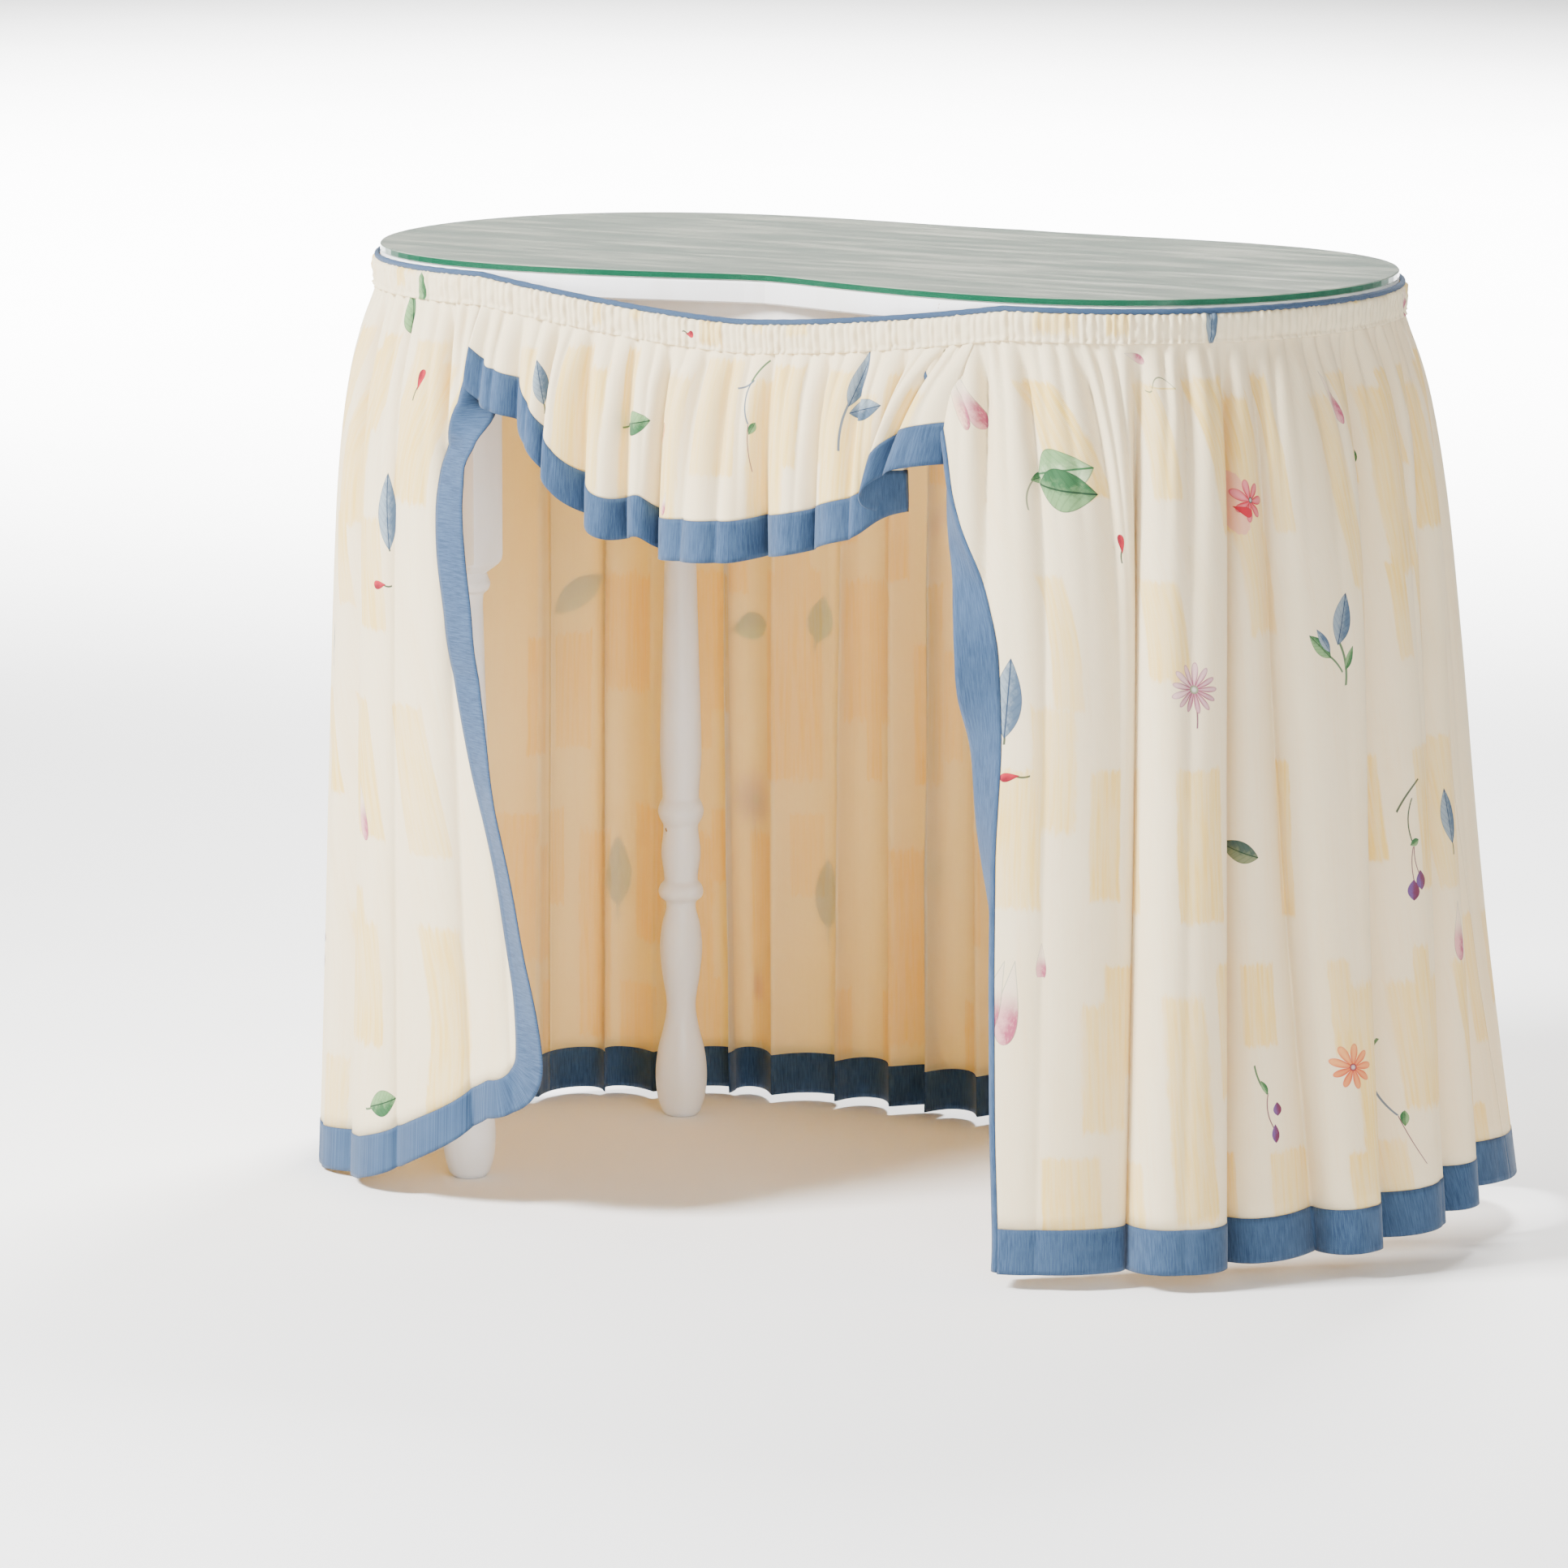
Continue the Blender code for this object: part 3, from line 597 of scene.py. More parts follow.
def make_piping():
    s = np.linspace(0, L, PIPING_COLUMNS, endpoint=False)
    rings = []
    for turn in 2 * math.pi * np.arange(PIPING_SIDES) / PIPING_SIDES:
        wobble = PIPING_RADIUS * (1 + 0.06 * np.sin(s * 410 + 2 * turn) * np.sin(s * 37))
        z = PIPING_TOP - PIPING_RADIUS - sag(s) + wobble * math.sin(turn) * 1.05
        rings.append(RIM.outside(s, PIPING_OUT + wobble * math.cos(turn) * 0.95, z))
    quads = np.roll(ring_quads(PIPING_SIDES, PIPING_COLUMNS)[:, ::-1], 1, axis=1)
    name = "top_piping_cloth"
    return new_object(name, smooth_mesh(name, np.concatenate(rings), quads))


# ---------------------------------------------------------------- turned legs
LEG_SIDES = 48
CURVE_STEPS = 5              # rings between two of the CAD profile's levels
SQUARE = 26                  # power of the block's almost square section


def leg_profile(node, axis, half):
    """Heights and radii of the CAD leg's turned part, and the height where its block starts."""
    co = np.array([v.co for v in frame["nodes"][node].data.vertices])
    levels = sorted(set(np.round(co[:, 2], 5)))
    radii = []
    for z in levels:
        ring = co[abs(co[:, 2] - z) < 2e-5, :2] - axis
        radii.append(np.linalg.norm(ring, axis=1).max())
    turned = [(z, r) for z, r in zip(levels, radii) if r < half * 1.05]
    return np.array(turned), levels[len(turned)]


def smooth_profile(profile):
    """The same profile with a cubic curve through its points."""
    zs, rs = profile.T
    last = len(zs) - 1
    length = np.concatenate([[0.0], np.cumsum(np.hypot(np.diff(zs), np.diff(rs)))])
    place = np.arange(last + 1)
    after, before = np.minimum(place + 1, last), np.maximum(place - 1, 0)
    slope = (rs[after] - rs[before]) / (length[after] - length[before])
    t = np.arange(CURVE_STEPS)[None, :] / CURVE_STEPS
    run = np.diff(length)[:, None]
    z = zs[:-1, None] + np.diff(zs)[:, None] * t
    r = (2 * t ** 3 - 3 * t ** 2 + 1) * rs[:-1, None] + (3 * t ** 2 - 2 * t ** 3) * rs[1:, None]
    leave, arrive = t ** 3 - 2 * t ** 2 + t, t ** 3 - t ** 2
    r = r + run * (leave * slope[:-1, None] + arrive * slope[1:, None])
    return [*zip(z.ravel(), r.ravel()), (zs[-1], rs[-1])]


def make_leg(node):
    """The CAD leg's own profile, turned with more sides and smooth curves."""
    low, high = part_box(node)
    axis = np.array([(low.x + high.x) / 2, (low.y + high.y) / 2])
    half = (high.x - low.x) / 2
    profile, block_start = leg_profile(node, axis, half)
    turns = 2 * math.pi * np.arange(LEG_SIDES) / LEG_SIDES
    shape = bmesh.new()
    rings = []

    def ring(z, radius, power):
        grow = (abs(np.cos(turns)) ** power + abs(np.sin(turns)) ** power) ** (-1 / power)
        x, y = axis[0] + radius * grow * np.cos(turns), axis[1] + radius * grow * np.sin(turns)
        rings.append([shape.verts.new((x[i], y[i], z)) for i in range(LEG_SIDES)])

    for z, r in smooth_profile(profile):
        ring(z, r, 2)
    top_z, top_r = profile[-1]
    for t in (0.35, 0.65, 0.85, 1.0):
        ring(top_z + (block_start - top_z) * t,
             top_r + (half - top_r) * math.sin(t * math.pi / 2), 2 + 12 * t ** 2)
    ring(block_start + 0.004, half, SQUARE)
    ring(high.z, half, SQUARE)
    for lower, upper in zip(rings, rings[1:]):
        for i in range(LEG_SIDES):
            j = (i + 1) % LEG_SIDES
            shape.faces.new((lower[i], lower[j], upper[j], upper[i]))
    shape.faces.new(list(reversed(rings[0])))
    shape.faces.new(rings[-1])
    mesh = bpy.data.meshes.new(node + "_turned")
    shape.to_mesh(mesh)
    shape.free()
    mesh.shade_smooth()
    mesh.set_sharp_from_angle(angle=math.radians(50))
    return new_object(node + "_turned", mesh)


# ---------------------------------------------------------------- materials
class Value:
    """An output socket, on which Python arithmetic adds Math nodes."""

    def __init__(self, nodes, socket):
        self.nodes, self.socket = nodes, socket

    def __add__(self, other):
        return self.nodes.math("ADD", self, other)

    def __sub__(self, other):
        return self.nodes.math("SUBTRACT", self, other)

    def __rsub__(self, other):
        return self.nodes.math("SUBTRACT", other, self)

    def __mul__(self, other):
        return self.nodes.math("MULTIPLY", self, other)

    def __truediv__(self, other):
        return self.nodes.math("DIVIDE", self, other)

    def __abs__(self):
        return self.nodes.math("ABSOLUTE", self)


class Nodes:
    """Short calls that add shader nodes and return their outputs."""

    def __init__(self, name):
        self.material = bpy.data.materials.new(name)
        self.material.use_nodes = True
        self.tree = self.material.node_tree
        self.tree.nodes.clear()

    def add(self, kind, inputs=(), out=0, **settings):
        node = self.tree.nodes.new("ShaderNode" + kind)
        for key, value in settings.items():
            setattr(node, key, value)
        for key, value in dict(inputs).items():
            if isinstance(value, Value):
                self.tree.links.new(value.socket, node.inputs[key])
            else:
                node.inputs[key].default_value = value
        return Value(self, node.outputs[out])

    def math(self, operation, *values, clamp=False):
        return self.add("Math", dict(enumerate(values)), operation=operation, use_clamp=clamp)

    def ramp(self, value, low, high, to_low=0.0, to_high=1.0):
        return self.add("MapRange", {"Value": value, "From Min": low, "From Max": high,
                                     "To Min": to_low, "To Max": to_high},
                        interpolation_type="SMOOTHSTEP")

    def mix(self, share, a, b, blend="MIX"):
        a, b = [c if isinstance(c, Value) else (*c, 1.0) for c in (a, b)]
        return self.add("Mix", {0: share, 6: a, 7: b}, out=2, data_type="RGBA", blend_type=blend)

    def noise(self, vector, scale, detail=2.0, rough=0.5):
        return self.add("TexNoise", {"Vector": vector, "Scale": scale, "Detail": detail,
                                     "Roughness": rough})

    def stretch(self, vector, scale):
        return self.add("Mapping", {"Vector": vector, "Scale": scale})

    def streaks(self, vector, scale, detail=2.0, rough=0.5):
        """Noise stretched along some directions."""
        return self.noise(self.stretch(vector, scale), 1.0, detail, rough)

    def uv(self, name):
        return self.add("UVMap", uv_map=name)

    def place(self):
        return self.add("TexCoord", out="Object")

    def join(self, x, y, z):
        return self.add("CombineXYZ", {0: x, 1: y, 2: z})

    def split(self, vector):
        x = self.add("SeparateXYZ", {0: vector})
        return [Value(self, socket) for socket in x.socket.node.outputs]

    def bump(self, height, strength, distance, **inputs):
        return self.add("Bump", {"Height": height, "Strength": strength, "Distance": distance,
                                 **inputs})

    def principled(self, **inputs):
        names = {key.replace("_", " "): value for key, value in inputs.items()}
        return self.add("BsdfPrincipled", names)

    def surface(self, shader):
        output = self.tree.nodes.new("ShaderNodeOutputMaterial")
        self.tree.links.new(shader.socket, output.inputs["Surface"])
        return self.material


def linear(red, green, blue):
    """A screen colour of 0 to 255 as linear light."""
    shares = [value / 255 for value in (red, green, blue)]
    return tuple(v / 12.92 if v <= 0.04045 else ((v + 0.055) / 1.055) ** 2.4 for v in shares)


CREAM = linear(251, 240, 207)
YELLOW = linear(250, 217, 108)
FADED = linear(250, 240, 214)            # what a drop's faded tip turns to
THROUGH_LIGHT = (0.92, 0.78, 0.30)      # tint of light that has passed through the cotton


def brush_patches(n, u, v, width, height, seed):
    """Brushed rectangles, one to a cell of the flat cloth; returns their mask."""
    row = n.math("FLOOR", v / height)
    pushed = u / width + row * 0.37
    column = n.math("FLOOR", pushed)
    cell = n.join(column, row, seed)
    r, g, b = n.split(n.add("TexWhiteNoise", {0: cell}, out=1, noise_dimensions="3D"))
    edge = n.streaks(n.join(u, v, seed), (260, 60, 1), 3) - 0.5
    x = abs(pushed - column - n.ramp(r, 0, 1, 0.35, 0.65)) + edge * 0.06
    y = abs(n.math("FRACT", v / height) - n.ramp(g, 0, 1, 0.42, 0.58)) + edge * 0.10
    inside_x = n.ramp(n.ramp(b, 0, 1, 0.14, 0.33) - x, 0.0, 0.03)
    inside_y = n.ramp(n.ramp(g, 0, 1, 0.42, 0.22) - y, 0.0, 0.03)
    return inside_x * inside_y * n.math("GREATER_THAN", r, 0.36)


def cloth_ground(n):
    """Cream cotton with brushed yellow patches and upright streaks; returns its colour."""
    uv = n.uv("flat")
    u, v, _ = n.split(uv)
    streak = n.streaks(uv, (330, 14, 1), 4, 0.6)
    wide = n.streaks(uv, (38, 5, 1), 3)
    cloud = n.streaks(uv, (9, 6, 1), 2)
    colour = n.mix(n.ramp(wide, 0.48, 0.72, 0.0, 0.30), CREAM, linear(248, 230, 180))
    colour = n.mix(n.ramp(streak, 0.45, 0.75, 0.0, 0.16), colour, linear(244, 214, 145))
    patches = n.math("MAXIMUM", brush_patches(n, u, v, 0.070, 0.150, 1.0),
                     brush_patches(n, u + 0.31, v, 0.115, 0.230, 5.0))
    strength = patches * n.ramp(streak, 0.30, 0.66, 0.95, 0.45)
    strength = strength * n.ramp(cloud, 0.3, 0.7, 0.65, 1.0)
    return n.mix(strength, colour, YELLOW), uv


def weave(n, uv, threads=1500.0):
    """Height of a plain weave with uneven threads, threads to the metre."""
    u, v, _ = n.split(uv)
    warp = n.math("SINE", u * (threads * math.pi))
    weft = n.math("SINE", v * (threads * math.pi))
    slubs = n.streaks(uv, (600, 40, 1)) + n.streaks(uv, (40, 600, 1))
    return warp * weft + slubs


def cloth_shader(n, colour, uv, through):
    """Matt cotton that lets a share of the light through."""
    crumple = n.streaks(uv, (45, 30, 1), 4, 0.62)
    normal = n.bump(crumple, 0.35, 0.0016, Normal=n.bump(weave(n, uv), 0.35, 0.0002))
    front = n.principled(Base_Color=colour, Roughness=0.88, Sheen_Weight=0.15,
                         Specular_IOR_Level=0.25, Normal=normal)
    warm = n.mix(1.0, colour, THROUGH_LIGHT, blend="MULTIPLY")
    lit = n.add("BsdfTranslucent", {"Color": warm, "Normal": normal})
    return n.add("MixShader", {0: through, 1: front, 2: lit})


# Printed motifs. A kind is a list of strokes in centimetres about the motif's own centre:
# leaf and drop: x, y, turn, length, width, light, dark, line, and how far a drop's tip fades
# stem: x, y, x, y, bend, width, colour;  dot: x, y, radius, colour
# flower: x, y, radius, petals, light, dark;  wash: x, y, turn, length, width, colour
SKY, SLATE, INK = (146, 164, 178), (84, 106, 130), (52, 68, 92)
LIME, LEAF, MOSS = (132, 172, 118), (58, 108, 68), (38, 66, 46)
BLUSH, ROSE, PLUM = (232, 176, 178), (182, 92, 120), (112, 54, 82)
SCARLET, WINE, VIOLET = (196, 42, 62), (136, 24, 44), (112, 82, 142)
AMBER, RUST, OLIVE = (246, 178, 110), (214, 92, 60), (128, 138, 104)
BLUE, GREEN = (SKY, SLATE, INK), (LIME, LEAF, MOSS)
STROKES = {
    "blue_leaf": [
        ("stem", 0.0, -3.9, 0.1, -2.4, 0.1, 0.12, MOSS), ("leaf", 0.1, 0.5, 0, 6.4, 2.5, *BLUE)],
    "blue_sprig": [
        ("stem", 0.9, -3.3, -0.1, 0.2, 0.35, 0.14, LEAF),
        ("stem", 0.5, -2.3, -1.6, -0.9, 0.2, 0.10, LEAF), ("leaf", 0.4, 1.9, -14, 4.4, 1.9, *BLUE),
        ("leaf", -1.9, -0.5, 55, 2.7, 1.2, *GREEN), ("leaf", -1.6, 0.0, 40, 2.2, 0.8, *BLUE),
        ("leaf", 1.2, -1.1, -22, 2.2, 0.7, *GREEN)],
    "leaf_pair": [
        ("stem", -0.7, -3.6, -0.3, 0.2, -0.2, 0.12, SLATE),
        ("leaf", 0.3, 2.0, -16, 4.6, 1.7, *BLUE), ("leaf", 1.6, -0.3, -78, 3.7, 1.7, *BLUE)],
    "lily": [
        ("stem", -3.3, -2.2, -2.2, 0.2, -0.3, 0.07, OLIVE),
        ("leaf", -1.8, 0.2, 100, 1.5, 0.9, *GREEN),
        ("leaf", 0.3, 0.8, 98, 4.4, 3.4, (196, 220, 176), LIME, LEAF),
        ("leaf", 0.2, -0.6, 80, 4.2, 3.4, *GREEN)],
    "green_leaf": [
        ("stem", 0.1, -2.6, 0.0, -1.4, 0.1, 0.10, LEAF), ("leaf", 0.0, 0.0, 0, 3.9, 2.2, *GREEN)],
    "dark_leaf": [
        ("leaf", 0.0, 0.0, 0, 4.4, 1.9, OLIVE, (72, 92, 84), MOSS)],
    "tulip": [
        ("drop", 0.50, 0.0, 5, 5.2, 2.0, BLUSH, ROSE, OLIVE, 0.9),
        ("drop", -0.5, -0.1, -4, 5.0, 1.9, (248, 214, 186), ROSE, OLIVE, 0.9)],
    "petal": [
        ("drop", 0.0, 0.0, 0, 4.8, 2.0, BLUSH, ROSE, OLIVE, 0.85)],
    "seed": [
        ("stem", 0.0, 0.5, 0.15, 1.7, 0.1, 0.09, MOSS),
        ("drop", 0.0, 0.0, 0, 1.7, 1.0, SCARLET, WINE, WINE)],
    "daisy": [
        ("stem", 0.0, -3.0, 0.0, -0.5, 0.1, 0.07, PLUM),
        ("flower", 0.0, 0.0, 2.3, 13, (240, 206, 208), (150, 66, 100)),
        ("dot", 0.0, 0.0, 0.34, OLIVE)],
    "red_flower": [
        ("wash", -0.9, 0.1, 8, 5.2, 2.8, (238, 176, 162)),
        ("flower", 0.6, 0.2, 2.0, 7, (236, 150, 160), SCARLET),
        ("drop", -0.2, -0.5, 70, 1.8, 1.1, SCARLET, SCARLET, WINE), ("dot", 0.7, 0.3, 0.25, MOSS)],
    "berry_vine": [
        ("stem", 1.4, 4.6, -1.2, 2.2, 0.2, 0.10, MOSS),
        ("stem", 0.4, 3.2, 0.1, -0.6, 0.5, 0.08, MOSS), ("leaf", 0.2, -0.3, 110, 1.1, 0.6, *GREEN),
        ("stem", 0.0, -0.6, -0.3, -3.4, 0.2, 0.06, PLUM),
        ("stem", 0.1, -0.6, 0.4, -2.9, 0.2, 0.06, PLUM),
        ("leaf", -0.45, -4.0, -8, 1.7, 1.3, VIOLET, PLUM, PLUM),
        ("leaf", 0.5, -3.3, 0, 1.6, 1.2, VIOLET, PLUM, PLUM)],
    "berry_sprig": [
        ("stem", -0.9, 2.6, 0.2, 0.3, 0.2, 0.10, LEAF), ("leaf", -0.1, 0.9, 30, 1.2, 0.5, *GREEN),
        ("stem", 0.2, 0.3, 0.6, -2.4, 0.3, 0.06, PLUM),
        ("leaf", 1.0, -0.9, 0, 1.1, 0.8, VIOLET, PLUM, PLUM),
        ("leaf", 0.7, -2.8, 0, 1.5, 0.7, VIOLET, PLUM, PLUM)],
    "vine": [
        ("stem", 1.3, 4.6, -0.6, 2.6, 0.25, 0.12, LEAF),
        ("stem", -2.0, 2.0, -0.3, 2.8, 0.2, 0.10, SLATE),
        ("stem", -0.6, 2.6, -0.4, -1.2, 0.45, 0.10, SLATE),
        ("leaf", 0.0, -1.6, 150, 1.3, 0.8, *GREEN),
        ("stem", -0.4, -1.2, 0.1, -5.6, 0.2, 0.05, PLUM)],
    "orange_flower": [
        ("flower", 0.0, 0.0, 2.1, 9, AMBER, RUST), ("dot", 0.0, 0.0, 0.3, WINE)],
    "bud": [
        ("stem", 0.0, -2.4, 0.0, 0.2, 0.1, 0.06, OLIVE),
        ("drop", 0.0, 0.7, 180, 2.2, 0.8, AMBER, OLIVE, MOSS)],
    "cup": [
        ("stem", -1.6, 0.4, 1.7, 0.3, 0.1, 0.08, (236, 214, 140)),
        ("stem", -1.4, 0.2, 1.6, 0.2, -0.9, 0.06, OLIVE),
        ("stem", -2.3, 0.1, -1.5, 0.1, 0.12, 0.06, OLIVE)],
}


class Painter:
    """Lays one kind of motif over a ground colour, stroke by stroke."""

    def __init__(self, n, colour):
        self.n, self.colour = n, colour
        self.uv = n.uv("motif")
        self.wash_noise = n.noise(self.uv, 1.4, 4, 0.65)
        self.fine_noise = n.streaks(self.uv, (9, 3, 1))

    def local(self, x, y, turn, length, width):
        """The place on the stroke's own axes, 1 at its ends and sides."""
        vector = self.n.add("Mapping", {"Vector": self.uv, "Location": (x, y, 0),
                                        "Rotation": (0, 0, math.radians(turn)),
                                        "Scale": (width / 2, length / 2, 1)},
                            vector_type="TEXTURE")
        return self.n.split(vector)[:2]

    def round_local(self, x, y, radius):
        """The place on a round stroke's own axes and its distance from the middle."""
        x, y = self.local(x, y, 0, radius * 2, radius * 2)
        return x, y, self.n.math("SQRT", x * x + y * y)

    def lay(self, mask, colour, strength=1.0):
        share = mask * strength if strength < 1 else mask
        self.colour = self.n.mix(share, self.colour, colour)

    def blade(self, x, y, profile, light, dark, line, rib, fade=0.0):
        """Fill, shade and outline a shape that is profile wide on either side of its axis."""
        n = self.n
        light, dark, line = linear(*light), linear(*dark), linear(*line)
        margin = profile - abs(x)
        side = x * 0.55 + self.wash_noise * 1.1
        body = n.mix(n.ramp(side, 0.25, 0.85), light, dark)
        if rib:
            veins = n.math("SINE", (y - abs(x) * 0.45) * 24.0)
            body = n.mix(n.ramp(veins, 0.5, 1.0, 0.0, 0.22), body, line)
            body = n.mix(n.ramp(abs(x), 0.07, 0.02), body, line)
        else:
            body = n.mix(n.ramp(self.fine_noise, 0.5, 0.75, 0.0, 0.5), body, light)
        if fade:
            tip = y + self.wash_noise * 0.5
            body = n.mix(n.ramp(tip, -0.15, 0.65, 0.0, fade), body, FADED)
        body = n.mix(n.ramp(margin, 0.10, 0.04) * 0.6, body, line)
        self.lay(n.ramp(margin, 0.0, 0.05), body)

    def leaf(self, x, y, turn, length, width, *colours):
        x, y = self.local(x, y, turn, length, width)
        lens = self.n.math("SUBTRACT", 1.0, y * y, clamp=True)
        self.blade(x, y, lens * (1.0 - y * 0.22), *colours, True)

    def drop(self, x, y, turn, length, width, light, dark, line, fade=0.0):
        x, y = self.local(x, y, turn, length, width)
        profile = self.n.math("SQRT", 1.0 - y * y) * (0.62 - y * 0.46)
        self.blade(x, y, profile, light, dark, line, False, fade)

    def stem(self, x0, y0, x1, y1, bend, width, colour):
        n = self.n
        turn = math.degrees(math.atan2(x0 - x1, y1 - y0))
        length = math.hypot(x1 - x0, y1 - y0)
        x, y = self.local((x0 + x1) / 2, (y0 + y1) / 2, turn, length, 2.0)
        away = abs(x - (1.0 - y * y) * bend)
        line = n.ramp(away, width * 1.15, width * 0.60)
        self.lay(line * n.ramp(abs(y), 1.02, 0.97), linear(*colour), 0.92)

    def dot(self, x, y, radius, colour):
        n = self.n
        _, _, away = self.round_local(x, y, radius)
        dark = linear(*colour)
        light = tuple(0.5 * c + 0.5 for c in dark)
        self.lay(n.ramp(away, 1.02, 0.9), n.mix(n.ramp(away, 0.2, 0.9), light, dark))

    def wash(self, x, y, turn, length, width, colour):
        x, y = self.local(x, y, turn, length, width)
        away = x * x + y * y + self.wash_noise * 0.5
        self.lay(self.n.ramp(away, 1.22, 1.12), linear(*colour), 0.75)

    def flower(self, x, y, radius, petals, light, dark):
        n = self.n
        light, dark = linear(*light), linear(*dark)
        x, y, away = self.round_local(x, y, radius)
        turn = n.math("ARCTAN2", y, x)
        wave = abs(n.math("COSINE", turn * (petals / 2)))
        petal = n.math("ROUND", turn * (petals / 2 / math.pi))
        uneven = n.noise(n.add("CombineXYZ", {0: petal, 1: 3.7}), 1.9, 0)
        tips = n.math("POWER", wave, 0.6) * 0.7 + uneven * 0.45
        margin = tips - 0.06 - away
        stripes = wave * 0.6 + uneven * 0.8
        body = n.mix(n.ramp(stripes, 0.55, 1.25), dark, light)
        body = n.mix(n.ramp(away, 0.05, 0.45, 0.5, 0.0), body, dark)
        line = n.ramp(margin, 0.10, 0.03) * 0.6
        self.lay(n.ramp(margin, 0.0, 0.05), n.mix(line, body, dark))


def make_reverse():
    """The plain, paler back of the printed cotton; the print shows through it only when lit."""
    n = Nodes("printed_cotton_reverse")
    colour, uv = cloth_ground(n)
    colour = n.mix(0.5, colour, linear(246, 228, 180))
    return n.surface(cloth_shader(n, colour, uv, 0.38))


def make_print(name, kind=None):
    n = Nodes(name)
    colour, uv = cloth_ground(n)
    if kind:
        painter = Painter(n, colour)
        for stroke, *values in STROKES[kind]:
            getattr(painter, stroke)(*values)
        colour = painter.colour
    return n.surface(cloth_shader(n, colour, uv, 0.31))


MOTIF_REACH = 0.068          # no stroke lies farther than this from its motif's centre
# Motifs by panel: kind, place on the flat cloth, size, turn in degrees
MOTIFS = {
    "skirt_right": [
        ("lily", 0.129, -0.105, 1.0, 0), ("tulip", 0.070, -0.044, 0.95, 0),
        ("petal", 0.274, -0.010, 0.55, 75), ("cup", 0.297, -0.036, 1.0, 0),
        ("petal", 0.519, -0.047, 0.9, 12), ("red_flower", 0.367, -0.124, 1.0, 0),
        ("daisy", 0.258, -0.264, 1.0, 0), ("blue_leaf", 0.040, -0.277, 1.0, -8),
        ("seed", 0.043, -0.333, 1.0, -80), ("blue_sprig", 0.452, -0.235, 1.0, -10),
        ("berry_vine", 0.570, -0.398, 1.0, 0), ("blue_leaf", 0.681, -0.393, 0.7, 0),
        ("dark_leaf", 0.334, -0.394, 0.9, 75), ("tulip", 0.040, -0.506, 1.3, -14),
        ("petal", 0.072, -0.475, 0.6, 0), ("berry_sprig", 0.348, -0.586, 1.0, 0),
        ("orange_flower", 0.432, -0.565, 1.0, 0), ("green_leaf", 0.569, -0.095, 0.6, 0),
        ("seed", 0.156, -0.153, 0.9, 170), ("vine", 0.520, -0.600, 1.0, 20),
        ("green_leaf", 0.640, -0.250, 0.9, 30), ("petal", 0.672, -0.480, 1.0, -10)],
    "skirt_left": [
        ("blue_leaf", 0.677, -0.177, 1.0, 4), ("seed", 0.663, -0.232, 1.0, -85),
        ("petal", 0.592, -0.419, 1.0, 0), ("green_leaf", 0.652, -0.012, 0.9, 10),
        ("seed", 0.694, -0.062, 1.0, 180), ("petal", 0.507, -0.032, 0.9, -20),
        ("blue_leaf", 0.553, -0.283, 0.7, 0), ("green_leaf", 0.600, -0.655, 1.0, -75),
        ("bud", 0.530, -0.680, 1.0, 0), ("daisy", 0.330, -0.300, 1.0, 0),
        ("berry_sprig", 0.470, -0.530, 1.0, 0), ("leaf_pair", 0.250, -0.120, 1.0, 0),
        ("red_flower", 0.200, -0.480, 1.0, 0), ("blue_sprig", 0.360, -0.620, 1.0, 20),
        ("lily", 0.390, -0.130, 1.0, 0)],
    "skirt_back_left": [
        ("blue_leaf", 1.514, -0.297, 1.0, 60), ("green_leaf", 1.264, -0.322, 1.1, 80),
        ("green_leaf", 1.185, -0.313, 1.1, 10), ("daisy", 1.264, -0.472, 1.3, 0),
        ("blue_leaf", 1.179, -0.555, 1.0, 0), ("petal", 1.262, -0.625, 1.0, 0),
        ("blue_leaf", 1.442, -0.541, 1.0, 0)],
    "valance": [
        ("leaf_pair", 0.709, -0.056, 1.0, 0), ("vine", 0.589, -0.067, 0.85, 0),
        ("green_leaf", 0.434, -0.083, 0.9, -80), ("blue_leaf", 0.296, -0.059, 0.6, 20),
        ("bud", 0.490, -0.097, 0.9, 0), ("petal", 0.501, -0.144, 0.4, -10)],
    "heading_casing": [
        ("blue_leaf", 0.806, 0.016, 0.8, 0), ("seed", 4.474, 0.009, 0.8, 90),
        ("petal", 1.30, 0.012, 1.0, 30), ("green_leaf", 1.95, 0.010, 1.0, 70),
        ("blue_leaf", 2.60, 0.015, 1.0, 15), ("petal", 3.30, 0.012, 1.0, 0),
        ("green_leaf", 3.95, 0.004, 1.0, 10)],
}
SCATTER_CELL = (0.125, 0.135)


def scatter(mesh, placed, rng):
    """More motifs on a jittered grid wherever none is placed yet."""
    flat = np.empty(len(mesh.loops) * 2, np.float32)
    mesh.uv_layers["flat"].data.foreach_get("uv", flat)
    low, high = flat.reshape(-1, 2).min(0), flat.reshape(-1, 2).max(0)
    kinds = list(STROKES)
    found = list(placed)
    count = np.maximum(1, np.round((high - low) / SCATTER_CELL)).astype(int)
    for i in range(count[0]):
        for j in range(count[1]):
            jitter = rng.uniform(0.2, 0.8, 2)
            kind = kinds[rng.integers(len(kinds))]
            turn = rng.uniform(-70, 70)
            place = low + (high - low) * ((i, j) + jitter) / count
            if all(math.dist(place, row[1:3]) > 0.105 for row in found):
                found.append((kind, place[0], place[1], 1.0, turn))
    return found


